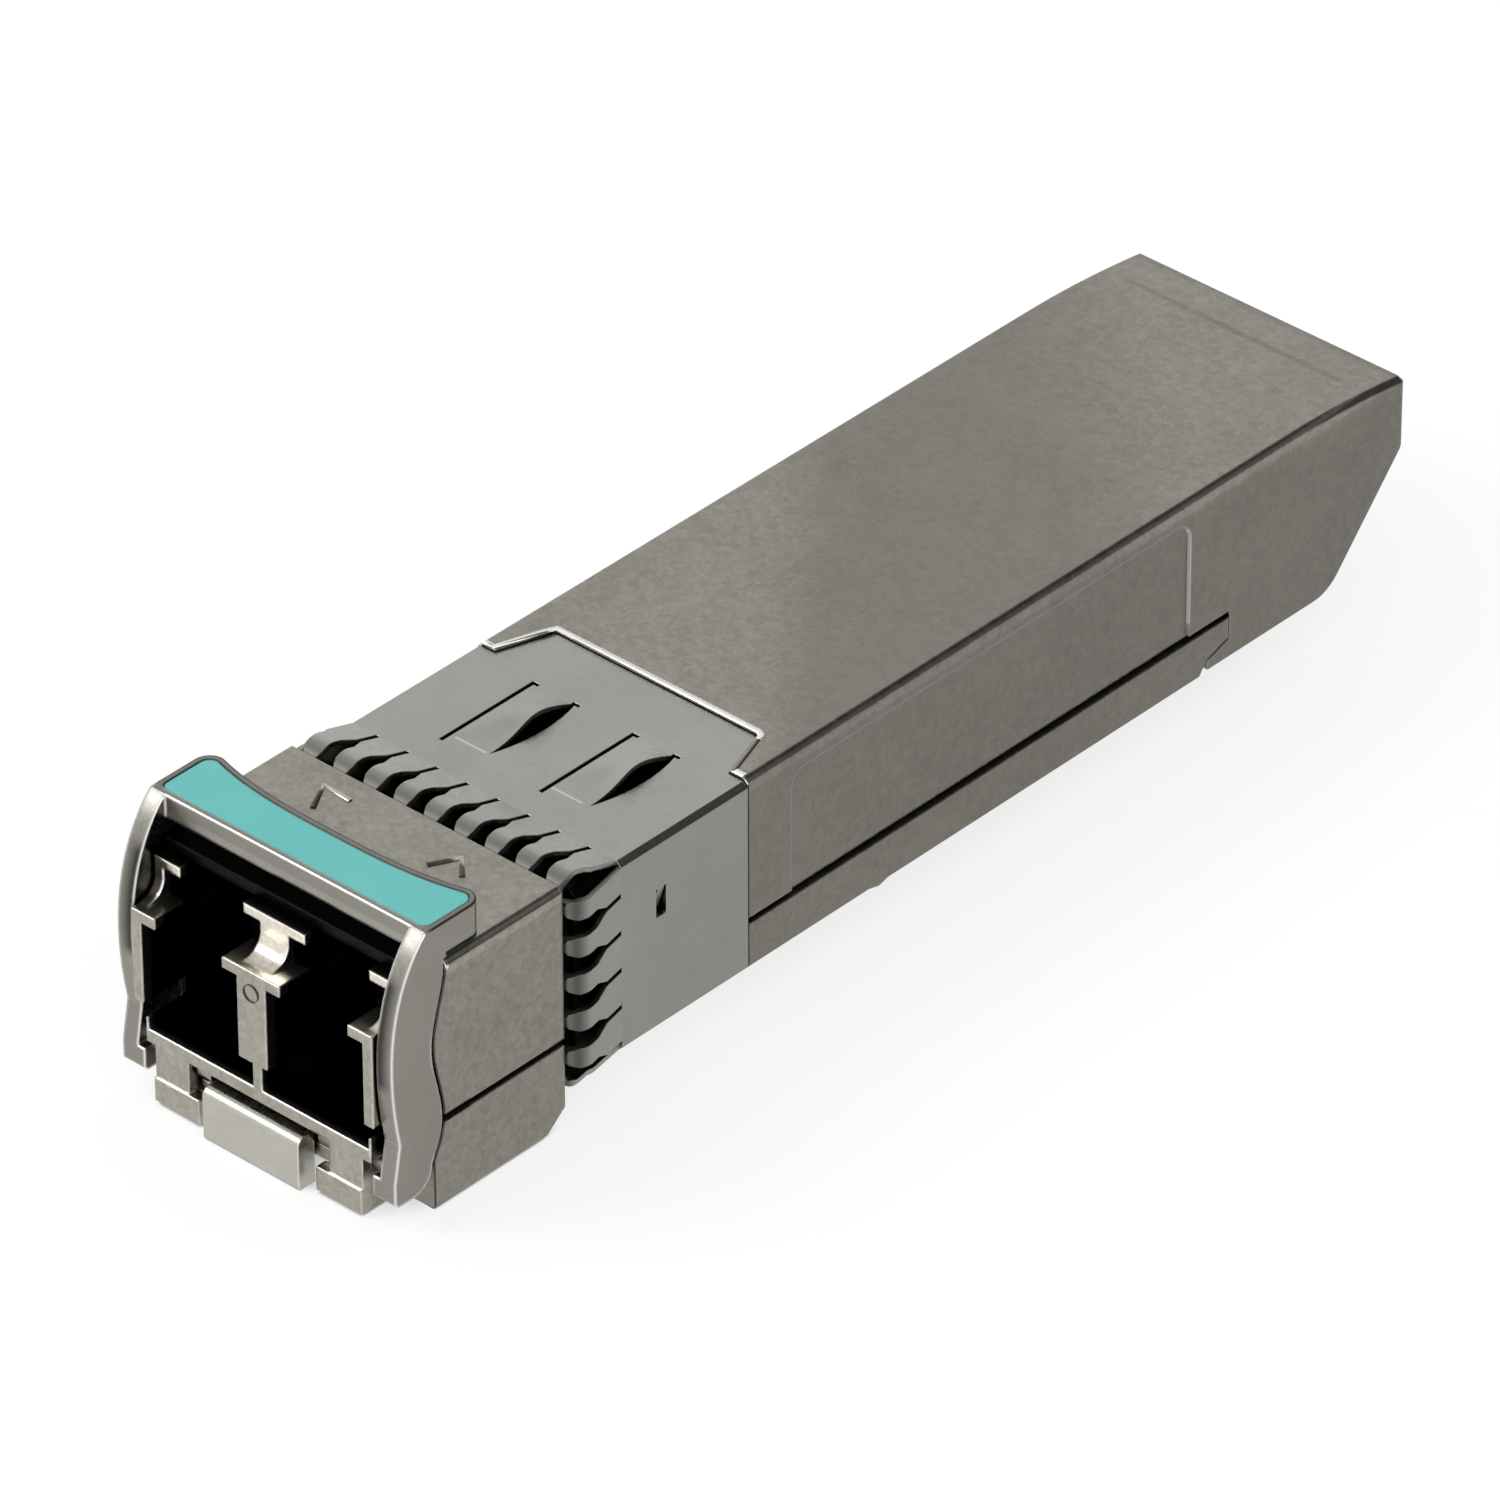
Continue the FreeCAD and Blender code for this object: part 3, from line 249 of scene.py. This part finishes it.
# Lighter tones on the nose and in stripes along the upper edges of both castings.
side_edge_x = side_x - 0.25 * mm
nose_zone = zone(-far, shoulder_y, soft=crisp)
nose_top_zone = zone(-far, shoulder_y, low=nose_top_z - 0.1 * mm, outer=side_x - 0.15 * mm, soft=crisp)
nose_chamfer_zone = zone(-far, shoulder_y, low=nose_top_z - 0.18 * mm, high=nose_top_z - 0.06 * mm,
                         inner=side_edge_x, soft=0.03 * mm)
chamfer_zone = zone(collar_end_y, far, low=body_top_z - 0.25 * mm, high=body_top_z - 0.07 * mm,
                    inner=side_edge_x, soft=crisp)
pale_band_zone = zone(collar_end_y, far, low=body_top_z - 0.65 * mm, high=body_top_z - 0.2 * mm,
                      inner=side_x - 0.15 * mm, soft=0.12 * mm)
# Painted highlights: the front faces made lighter, a glare on the scoops, a bead of light at the top corner
# of the nose's side and a bright line along the sill's edge.
front_light_zone = zone(-far, front_y + 0.75 * mm, soft=0.4 * mm)
scoop_zone = zone(-far, front_y + 1.45 * mm, low=ledge_z)
bead_zone = zone(front_y + 2.8 * mm, front_y + 3.2 * mm, low=nose_top_z - 0.4 * mm,
                 high=nose_top_z - 0.02 * mm, inner=side_edge_x, soft=0.08 * mm)
sill_edge_zone = zone(-far, front_y + 0.5 * mm, low=sill_z - 0.3 * mm, high=sill_z + 0.3 * mm, soft=crisp)

# Painted shade: black in the ports, under the bail's lip, in the lever's pocket, in the collar's seat, in the
# gap at the collar's rear end and in the gap behind the bail's arms.
port_zone = zone(front_y + 0.4 * mm, port_rear_y, low=sill_z - 0.3 * mm, high=ledge_z + 0.05 * mm,
                 outer=port_wall_x)
upper_port_zone = zone(front_y + 1.5 * mm, port_rear_y, low=ledge_z - 0.2 * mm, high=port_roof_z + 0.25 * mm,
                       outer=port_wall_x)
roof_edge_zone = zone(front_y + 1.0 * mm, front_y + 3.2 * mm, low=nose_top_z - 0.5 * mm,
                      high=nose_top_z + 0.1 * mm, outer=side_x - 0.55 * mm, soft=crisp)
arm_gap_zone = zone(front_y + 1.4 * mm, front_y + 4.2 * mm, high=nose_top_z - 0.2 * mm,
                    inner=side_x - 0.35 * mm, soft=0.1 * mm)
lever_pocket_zone = zone(front_y + 0.5 * mm, shoulder_y, low=0.9 * mm, high=sill_z - 0.2 * mm, outer=4.6 * mm)
seat_zone = zone(shoulder_y + 0.03 * mm, collar_end_y, soft=crisp)
collar_gap_zone = zone(collar_end_y - 0.1 * mm, collar_end_y + 0.14 * mm, high=body_top_z - 0.25 * mm,
                       inner=side_edge_x, soft=0.03 * mm)

# Soft tones of the long top, which slopes down at the rear, and the outline of the side panels. The broad
# lighter patches slanted across the top are painted reflections.
under_slope_z = 9.3 * mm
lead_zone = zone(rear_y - 14.0 * mm, far, low=under_slope_z, soft=0.5 * mm, soft_y=7.0 * mm, lean=0.8)
near_top_zone = zone(-far, shoulder_y + 21.8 * mm, low=body_top_z - 0.15 * mm, soft=crisp, soft_y=4.0 * mm,
                     lean=1.2)
rear_line_zone = zone(rear_y - 2.55 * mm, rear_y - 2.05 * mm, low=under_slope_z, outer=5.6 * mm)
rear_edge_zone = zone(rear_y - 0.75 * mm, far, low=under_slope_z, soft=0.1 * mm, soft_y=0.5 * mm)
panel_x = side_x - 0.45 * mm
panel_zone = zone(panel_start_y, panel_end_y, low=panel_low_z, high=panel_high_z, inner=panel_x, soft=crisp)
panel_line_zone = zone(panel_end_y - 0.2 * mm, panel_end_y + 0.2 * mm, low=panel_low_z,
                       high=panel_high_z - 0.1 * mm, inner=panel_x, soft=crisp)

casting_zones = (
    (lead_zone, 1.2, 0.36),
    (near_top_zone, 1.24, 0.36),
    (nose_top_zone, 0.87, 0.34),
    (collar_gap_zone, 0.12, 0.4),
    (rear_line_zone, 0.78, 0.36),
    (rear_edge_zone, 0.82, 0.36),
    (nose_zone, 1.22, 0.34),
    (chamfer_zone, 2.1, 0.36),
    (nose_chamfer_zone, 2.0, 0.36),
    (pale_band_zone, 1.16, 0.36),
    (front_light_zone, 1.42, 0.28),
    (scoop_zone, 2.9, 0.16),
    (port_zone, 0.03, 0.2),
    (upper_port_zone, 0.03, 0.2),
    (roof_edge_zone, 0.03, 0.5),
    (lever_pocket_zone, 0.06, 0.5),
    (seat_zone, 0.05, 0.5),
    (bead_zone, 3.2, 0.2),
)
casting_edges = ((panel_zone, 0.4), (panel_line_zone, 0.62), (arm_gap_zone, 0.01), (sill_edge_zone, 0.85))
casting = plated("satin_nickel_casting", (0.268, 0.255, 0.223), (0.182, 0.173, 0.149), 0.36, edge_radius=0.16,
                 grain_size=0.38, grain_share=0.65, relief=0.008, zones=casting_zones,
                 edge_tones=casting_edges)
finish_node(casting, "lower_housing")


# Latch lever: a rocker of plated steel with a square tab in front and a wedge under the body.
# It turns on a hard pin through the base and is pressed back by a small leaf of spring steel.
lever_plate = plated("lever_nickel_plate", (0.56, 0.55, 0.49), (0.47, 0.46, 0.405), 0.30, cloud_size=3.0,
                     hollow_shade=0.05)
pin_steel = plated("ground_pin_steel", (0.38, 0.37, 0.35), (0.30, 0.29, 0.27), 0.25, edge_radius=0.06)
leaf_steel = plated("leaf_spring_steel", (0.37, 0.36, 0.325), (0.31, 0.30, 0.27), 0.30, edge_radius=0.03)
finish_node(lever_plate, "latch_lever")
finish_node(pin_steel, "lever_pin")
finish_node(leaf_steel, "latch_spring")


# Optical pieces: turned steel barrels and packages in a stamped clamp, white ceramic sleeves for the plug's
# ferrules, and amber flexible circuits to the board. The barrels are painted dark as shade where they stand
# in the ports.
def moulded(name, light, dark, roughness, grain_size=0.3, relief=0.006):
    """A moulded finish with a fine eggshell grain, sizes in millimetres."""
    edge_radius, reach, cloud_size = 0.08, 0.5, 4.0
    grain_share, grain_roughness = 0.4, 0.1
    material, tree, shader = new_material(name)
    edge = use_group(tree, edges_of_metal, Radius=edge_radius * mm, Reach=reach * mm)
    grain = use_group(tree, grain_of_plate, Cloud_size=cloud_size * mm, Grain_size=grain_size * mm)
    tone = mix_values(tree, grain_share, grain["Clouds"], grain["Grain"])
    rough = calc(tree, "ADD", roughness, calc(tree, "MULTIPLY", grain["Grain"], grain_roughness))
    bump = place(tree, "ShaderNodeBump", {"Strength": 0.3, "Distance": relief * mm, "Height": grain["Grain"],
                                          "Normal": edge["Normal"]})
    tree.links.new(mix_colours(tree, tone, (*dark, 1.0), (*light, 1.0)), shader.inputs["Base Color"])
    tree.links.new(rough, shader.inputs["Roughness"])
    tree.links.new(bump.outputs[0], shader.inputs["Normal"])
    return material


in_ports_zone = zone(-far, shoulder_y)
barrel_steel = plated("turned_barrel_steel", (0.30, 0.29, 0.27), (0.24, 0.235, 0.22), 0.28, edge_radius=0.06,
                      zones=((in_ports_zone, 0.12, 0.3),))
ceramic = moulded("sleeve_ceramic", (0.80, 0.79, 0.75), (0.74, 0.73, 0.69), 0.22)
amber = moulded("amber_flex_film", (0.50, 0.22, 0.03), (0.38, 0.15, 0.02), 0.30)
finish_node(barrel_steel, "tosa_barrel", "rosa_barrel", "tosa_can", "rosa_can")
finish_node(pin_steel, "optics_clamp")
finish_node(ceramic, "tosa_sleeve", "rosa_sleeve")
finish_node(amber, "tosa_flex", "rosa_flex")


# Circuit board: green fibre board with gold contacts on its rear tongue, black moulded chips, a soft grey pad
# and small ceramic parts with tinned ends. Copper tracks under the mask run forward from the contacts.
board_green = moulded("board_solder_mask", (0.03, 0.17, 0.06), (0.02, 0.11, 0.04), 0.30)
track_green = moulded("track_solder_mask", (0.05, 0.25, 0.09), (0.04, 0.19, 0.07), 0.26, grain_size=0.15)
gold = plated("contact_gold", (0.90, 0.62, 0.22), (0.78, 0.52, 0.17), 0.45, edge_radius=0.03, hollow_shade=0.5,
              metal=0.5)
chip_black = moulded("chip_moulding", (0.025, 0.025, 0.027), (0.015, 0.015, 0.017), 0.5)
pad_grey = moulded("thermal_pad_silicone", (0.33, 0.34, 0.36), (0.27, 0.28, 0.30), 0.7)
passive_tan = moulded("passive_ceramic", (0.42, 0.30, 0.18), (0.33, 0.23, 0.13), 0.45)
solder_tin = plated("soldered_tin", (0.60, 0.60, 0.58), (0.48, 0.48, 0.46), 0.35, edge_radius=0.04)
finish_node(board_green, "circuit_board")
finish_node(gold, "contact_pads")
finish_node(chip_black, "laser_driver", "receive_amplifier", "controller")
finish_node(pad_grey, "thermal_pad")
finish_node(passive_tan, "passive_parts")


def start_nodes(name, inputs):
    """A geometry tree and its inputs by name, among them the geometry that it is given."""
    tree = bpy.data.node_groups.new(name, "GeometryNodeTree")
    tree.interface.new_socket("Geometry", in_out="INPUT", socket_type="NodeSocketGeometry")
    tree.interface.new_socket("Geometry", in_out="OUTPUT", socket_type="NodeSocketGeometry")
    for label, kind in inputs.items():
        tree.interface.new_socket(label, in_out="INPUT", socket_type="NodeSocket" + kind)
    return tree, tree.nodes.new("NodeGroupInput").outputs


def end_nodes(tree, shape, material):
    solid = place(tree, "GeometryNodeRealizeInstances", {0: shape}).outputs[0]
    painted = place(tree, "GeometryNodeSetMaterial", {"Geometry": solid, "Material": material}).outputs[0]
    tree.links.new(painted, tree.nodes.new("NodeGroupOutput").inputs[0])


def grow(name, tree, inputs, points=(), lines=()):
    """Runs a geometry tree once and keeps its result as a plain piece of the housing."""
    seed = bpy.data.meshes.new(name + "_start")
    seed.from_pydata(points, lines, [])
    piece = bpy.data.objects.new(name, seed)
    scene.collection.objects.link(piece)
    modifier = piece.modifiers.new("shape", "NODES")
    modifier.node_group = tree
    for item in tree.interface.items_tree:
        if item.in_out == "INPUT" and item.name in inputs:
            modifier[item.identifier] = inputs[item.name]
    evaluated = piece.evaluated_get(bpy.context.evaluated_depsgraph_get())
    mesh = bpy.data.meshes.new_from_object(evaluated)
    piece.modifiers.remove(modifier)
    piece.data = mesh
    bpy.data.meshes.remove(seed)
    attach(piece, "housing")


def row_of_blocks():
    """A row of equal blocks whose rear ends are in line, each cut to a length of its own."""
    tree, given = start_nodes("Row of blocks", {
        "Start": "Vector", "Step": "Vector", "Count": "Int", "Block": "Vector", "Shortest": "Float",
        "Seed": "Int"})
    points = place(tree, "GeometryNodeMeshLine", {"Count": given["Count"], "Start Location": given["Start"],
                                                  "Offset": given["Step"]}).outputs[0]
    block = place(tree, "GeometryNodeMeshCube", {"Size": given["Block"]}).outputs[0]
    length = place(tree, "ShaderNodeSeparateXYZ", {0: given["Block"]}).outputs["Y"]
    back = place(tree, "ShaderNodeCombineXYZ", {"Y": calc(tree, "MULTIPLY", length, -0.5)}).outputs[0]
    block = place(tree, "GeometryNodeTransform", {"Geometry": block, "Translation": back}).outputs[0]
    cut = place(tree, "FunctionNodeRandomValue", {
        2: given["Shortest"], 3: 1.0, "Seed": given["Seed"]}).outputs[1]
    scale = place(tree, "ShaderNodeCombineXYZ", {"X": 1.0, "Y": cut, "Z": 1.0}).outputs[0]
    row = place(tree, "GeometryNodeInstanceOnPoints", {"Points": points, "Instance": block, "Scale": scale})
    return tree, row.outputs[0]


tracks, track_row = row_of_blocks()
end_nodes(tracks, track_row, track_green)
pad_front_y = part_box("contact_pads")[0].y
board_low, board_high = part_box("circuit_board")
pads_in_row = 10
pad_step = 0.8 * mm
track_height = 0.02 * mm
track_block = (0.2 * mm, 9.0 * mm, 2 * track_height)
track_start_x = -(pads_in_row - 1) / 2 * pad_step
for side, level, seed in (("upper", board_high.z, 3), ("lower", board_low.z, 8)):
    grow(side + "_board_tracks", tracks, {
        "Start": (track_start_x, pad_front_y, level), "Step": (pad_step, 0, 0), "Count": pads_in_row,
        "Block": track_block, "Shortest": 0.5, "Seed": seed})

caps, cap_row = row_of_blocks()
end_nodes(caps, cap_row, solder_tin)
passive_low, passive_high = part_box("passive_parts")
passives_in_row = 7
passive_step = 1.5 * mm
passive_length = 1.0 * mm
cap_length = 0.25 * mm
cap_proud = 0.02 * mm
cap_block = (0.54 * mm, cap_length, passive_high.z - passive_low.z + 0.03 * mm)
cap_start_x = -(passives_in_row - 1) / 2 * passive_step
cap_z = passive_low.z + cap_block[2] / 2
cap_ends = {
    "front": passive_low.y + cap_length - cap_proud,
    "front_far": passive_low.y + passive_length + cap_proud,
    "rear": passive_high.y - passive_length + cap_length - cap_proud,
    "rear_far": passive_high.y + cap_proud,
}
for row, y in cap_ends.items():
    grow(row + "_end_caps", caps, {
        "Start": (cap_start_x, y, cap_z), "Step": (passive_step, 0, 0), "Count": passives_in_row,
        "Block": cap_block, "Shortest": 1.0, "Seed": 1})


# Cover casting: the upper half of the housing, with the nose's roof, the port dividers and the rear skirts.
# It is the same plated zinc as the base. Two small angle marks stand up on the nose's roof, an ejector pin
# has left a ring on the middle divider, and the pocket for the collar's tongue has a rim painted bright as a
# highlight.
finish_node(casting, "upper_housing")


def bar_along_lines(material):
    """A tree for a flat bar along each line of the given mesh, of one material."""
    tree, given = start_nodes("Bar along lines", {"Width": "Float", "Height": "Float"})
    path = place(tree, "GeometryNodeMeshToCurve", {0: given["Geometry"]}).outputs[0]
    profile = place(tree, "GeometryNodeCurvePrimitiveQuadrilateral", {
        "Width": given["Width"], "Height": given["Height"]}).outputs[0]
    bar = place(tree, "GeometryNodeCurveToMesh", {"Curve": path, "Profile Curve": profile, "Fill Caps": True})
    end_nodes(tree, bar.outputs[0], material)
    return tree


mark_width = 0.22 * mm
mark_height = 0.05 * mm
mark_corners = (
    (-3.30, -2.36), (-4.00, -1.05), (-2.60, -1.13),
    (2.24, -2.20), (2.87, -1.05), (3.69, -1.88),
)
mark_points = [(x * mm, shoulder_y + y * mm, nose_top_z) for x, y in mark_corners]
mark_lines = [(0, 1), (1, 2), (3, 4), (4, 5)]
# The marks are painted light as a highlight, and their front parts are painted dark as shade on one side; the
# same darkening falls on the ejector ring.
mark_front_zone = zone(-far, shoulder_y - 1.2 * mm, soft=0.25 * mm)
mark_bright = plated("raised_mark_nickel", (0.55, 0.53, 0.48), (0.30, 0.29, 0.26), 0.25, edge_radius=0.05,
                     cloud_size=0.6, edge_shine=0.8, zones=((mark_front_zone, 0.12, 0.4),))
marks = bar_along_lines(mark_bright)
grow("nose_marks", marks, {"Width": mark_width, "Height": 2 * mark_height}, mark_points,
     mark_lines)

ring_z = 7.5 * mm
ring_radius = 0.36 * mm
ring_width = 0.02 * mm
ring_height = 0.05 * mm
ring_sides = 20
ring_angles = [2 * pi * i / ring_sides for i in range(ring_sides)]
ring_points = [(ring_radius * cos(a), front_y, ring_z + ring_radius * sin(a)) for a in ring_angles]
ring_lines = [(i, (i + 1) % ring_sides) for i in range(ring_sides)]
grow("ejector_ring", marks, {"Width": ring_width, "Height": 2 * ring_height}, ring_points,
     ring_lines)

# The bright bar along the pocket's rim is a painted highlight.
rim_width = 0.26 * mm
rim_height = 0.03 * mm
rim_corners = (
    (-6.5, 10.12), (-6.02, 10.12), (-5.32, 12.1), (-5.12, 12.57), (4.95, 12.57), (5.2, 12.45), (5.32, 12.2),
    (6.02, 10.12), (6.5, 10.12),
)
rim_points = [(x * mm, shoulder_y + y * mm, body_top_z) for x, y in rim_corners]
rim_lines = [(0, 1), (1, 2), (2, 3), (3, 4), (4, 5), (5, 6), (7, 8)]
rim_bright = plated("pocket_rim_nickel", (0.90, 0.89, 0.86), (0.70, 0.69, 0.66), 0.2, edge_radius=0.04,
                    cloud_size=0.8)
rims = bar_along_lines(rim_bright)
grow("pocket_rim", rims, {"Width": rim_width, "Height": 2 * rim_height}, rim_points,
     rim_lines)

# A dark bar on the pocket's right slant is painted shade, standing for the shadow in the gap.
slant_width = 0.12 * mm
slant_height = 0.015 * mm
slant_points = rim_points[6:8]
slant_dark = plated("pocket_slant_nickel", (0.10, 0.096, 0.084), (0.07, 0.066, 0.058), 0.36, edge_radius=0.04)
slants = bar_along_lines(slant_dark)
grow("pocket_slant", slants, {"Width": slant_width, "Height": 2 * slant_height},
     slant_points, [(0, 1)])


# Spring collar: thin stainless spring sheet, stamped with fingers, springs and tangs.
# It is folded round the body: its tangs lock it in the cover and its folds clasp the base.
lance_front_y = shoulder_y + 5.05 * mm
lance_outer_x = 3.2 * mm
lance_low_z = 9.9 * mm
# The collar's sides are painted a little darker as shade, the finger tips darker as the nose's shadow, a
# bright line along the lances' crease as a painted highlight and the lances' bent strips darker as painted
# shade.
collar_side_zone = zone(-far, far, inner=side_x - 0.05 * mm, soft=crisp)
finger_tip_zone = zone(shoulder_y, shoulder_y + 1.0 * mm, soft=0.45 * mm)
crease_zone = zone(lance_front_y - 0.12 * mm, lance_front_y + 0.02 * mm, low=lance_low_z, inner=1.6 * mm,
                   outer=lance_outer_x, soft=0.06 * mm)
lance_zone = zone(lance_front_y, lance_front_y + 2.4 * mm, low=lance_low_z, inner=1.3 * mm,
                  outer=lance_outer_x, soft=0.7 * mm)
collar_zones = (
    (collar_side_zone, 0.9, 0.32),
    (finger_tip_zone, 0.38, 0.55),
    (crease_zone, 1.7, 0.3),
    (lance_zone, 0.68, 0.3),
)
spring_sheet = plated("spring_sheet_steel", (0.378, 0.373, 0.341), (0.330, 0.325, 0.297), 0.30,
                      edge_radius=0.06, reach=0.4, cloud_size=4.0, grain_size=0.4, grain_share=0.2,
                      edge_shine=0.5, relief=0.001, zones=collar_zones)
finish_node(spring_sheet, "emi_collar")


# Release bail: a plated casting in the shape of a stirrup, pinned low on both sides of the nose.
# The ends of its pins are eccentric and lift the lever. Its front edges are painted bright as a highlight.
bail_top_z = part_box("bail")[1].z
bail_outer_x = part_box("bail")[1].x
rim_zone = zone(-far, far, low=bail_top_z - 0.1 * mm, soft=crisp)
# Painted light on the bail: its front lip lighter as a highlight, the inner front faces of the arms darker as
# a painted reflection, and a black patch low at the rear of the arms as painted shade.
lip_zone = zone(-far, front_y + 2.6 * mm, low=bail_top_z - 1.15 * mm, high=bail_top_z - 0.55 * mm,
                outer=6.0 * mm, soft=0.1 * mm)
arm_shade_zone = zone(-far, far, low=6.0 * mm, high=bail_top_z - 1.45 * mm, outer=bail_outer_x - 0.05 * mm,
                      soft=0.5 * mm)
under_bail_zone = zone(front_y + 3.0 * mm, far, high=bail_top_z - 1.3 * mm, inner=side_x - 0.45 * mm,
                       soft=0.06 * mm)
stirrup_front_zone = zone(-far, front_y + 2.25 * mm, soft=0.1 * mm)
stirrup_rear_zone = zone(front_y + 2.3 * mm, far, low=bail_top_z - 0.3 * mm, soft=crisp)
bail_zones = (
    (rim_zone, 0.75, 0.3),
    (lip_zone, 1.25, 0.28),
    (arm_shade_zone, 0.2, 0.28),
    (under_bail_zone, 0.02, 0.5),
)
# The front edges are painted bright as a highlight and the rear top edges black as shade.
bail_edges = ((stirrup_front_zone, 0.85), (stirrup_rear_zone, 0.03))
bail_plate = plated("bail_nickel_plate", (0.300, 0.289, 0.257), (0.245, 0.235, 0.207), 0.28, edge_radius=0.20,
                    grain_share=0.3, edge_shine=1.0, relief=0.001, zones=bail_zones, edge_tones=bail_edges)
finish_node(bail_plate, "bail")
finish_node(pin_steel, "bail_pins")


# Colour band: a moulded strip of teal plastic glued into the top of the bail.
# Its face lies just under the rim, with a smooth eggshell finish.
teal_band = moulded("teal_colour_band", (0.135, 0.55, 0.525), (0.115, 0.50, 0.475), 0.42)
finish_node(teal_band, "bail_inlay")


# Floor: one pale sheet of paper that runs out far behind the object and keeps its shadow.
# The camera sees it nearly white, with a painted shadow where its glow fades close under the object. The
# metal mirrors it a little darker behind the object than in front.
def sheet_of_floor():
    reach = 4.0
    front_mirror, rear_mirror, mirror_turn = 0.72, 0.55, 0.03
    camera_glow, gap_reach = 0.78, 1.4 * mm
    gap_light, open_light = 0.05, 0.5
    lit_tone, seen_tone = (0.90, 0.90, 0.89, 1.0), (0.26, 0.26, 0.26, 1.0)
    rearward = (0.7, 0.7, 0.0)
    mesh = bpy.data.meshes.new("floor")
    mesh.from_pydata([(-reach, -reach, 0), (reach, -reach, 0), (reach, reach, 0), (-reach, reach, 0)], [],
                     [(0, 1, 2, 3)])
    floor = bpy.data.objects.new("floor", mesh)
    scene.collection.objects.link(floor)
    paper, tree, shader = new_material("pale_floor_paper")
    ray = place(tree, "ShaderNodeLightPath").outputs
    mirror = calc(tree, "MAXIMUM", ray["Is Glossy Ray"], ray["Is Transmission Ray"])
    seen = calc(tree, "MAXIMUM", mirror, ray["Is Camera Ray"])
    where = place(tree, "ShaderNodeTexCoord").outputs["Object"]
    toward = agreement(tree, where, rearward)
    mirrored = ramp(tree, toward, -mirror_turn, mirror_turn, front_mirror, rear_mirror)
    light = place(tree, "ShaderNodeAmbientOcclusion", {"Distance": gap_reach}, samples=8).outputs["AO"]
    paper_glow = ramp(tree, light, gap_light, open_light, 0.0, camera_glow)
    glow = mix_values(tree, mirror, calc(tree, "MULTIPLY", ray["Is Camera Ray"], paper_glow), mirrored)
    tree.links.new(mix_colours(tree, seen, lit_tone, seen_tone), shader.inputs["Base Color"])
    tree.links.new(glow, shader.inputs["Emission Strength"])
    shader.inputs["Emission Color"].default_value = (1.0, 1.0, 1.0, 1.0)
    shader.inputs["Roughness"].default_value = 0.9
    shader.inputs["Specular IOR Level"].default_value = 0.0
    mesh.materials.append(paper)


sheet_of_floor()


# Studio light: a soft lamp in front on the left, a weaker one on the right and a pale room all round.
# Polished metal mirrors the room darker behind the object on the right.
def soft_lamp(name, place_at, size, energy):
    """A square lamp that faces the middle of the floor."""
    lamp = bpy.data.lights.new(name, "AREA")
    lamp.size = size
    lamp.energy = energy
    light = bpy.data.objects.new(name, lamp)
    light.location = place_at
    light.rotation_euler = Vector(place_at).to_track_quat("Z", "Y").to_euler()
    scene.collection.objects.link(light)


soft_lamp("front_lamp", (-0.39, -0.41, 0.44), size=0.32, energy=1.6)
soft_lamp("side_lamp", (0.55, -0.30, 0.30), size=0.20, energy=0.35)


def pale_room():
    dark_way = Vector((0.57, 0.61, 0.55)).normalized()
    dark_border, dark_middle = 0.45, 0.80
    bright_mirror, dark_mirror = 1.0, 0.08
    room_light = 0.74
    world = bpy.data.worlds.new("studio")
    world.use_nodes = True
    scene.world = world
    tree = world.node_tree
    ray = place(tree, "ShaderNodeLightPath").outputs
    way = place(tree, "ShaderNodeTexCoord").outputs["Generated"]
    agree = agreement(tree, way, dark_way)
    mirrored = ramp(tree, agree, dark_border, dark_middle, bright_mirror, dark_mirror)
    mirror = calc(tree, "MAXIMUM", ray["Is Glossy Ray"], ray["Is Transmission Ray"])
    level = mix_values(tree, mirror, room_light, mirrored)
    level = mix_values(tree, ray["Is Camera Ray"], level, 1.0)
    tree.links.new(level, tree.nodes["Background"].inputs["Strength"])
    tree.nodes["Background"].inputs["Color"].default_value = (1.0, 1.0, 1.0, 1.0)


pale_room()


# Camera: a long lens nearly half a metre away, to the right of the nose and well above it.
# It looks down on the middle of the object and is turned a trace about its own axis.
def long_lens():
    azimuth, elevation, roll = radians(42.3526), radians(34.6047), radians(-0.176)
    distance = 0.4631
    aim = Vector((-0.00004, -0.00149, 0.00444))
    away = Vector((sin(azimuth) * cos(elevation), -cos(azimuth) * cos(elevation), sin(elevation)))
    data = bpy.data.cameras.new("long_lens")
    data.sensor_width = 36.0
    data.lens = 297.55
    data.clip_start = 0.01
    camera = bpy.data.objects.new("long_lens", data)
    camera.rotation_mode = "QUATERNION"
    camera.rotation_quaternion = away.to_track_quat("Z", "Y") @ Quaternion((0, 0, 1), roll)
    camera.location = aim + away * distance
    scene.collection.objects.link(camera)
    scene.camera = camera


long_lens()
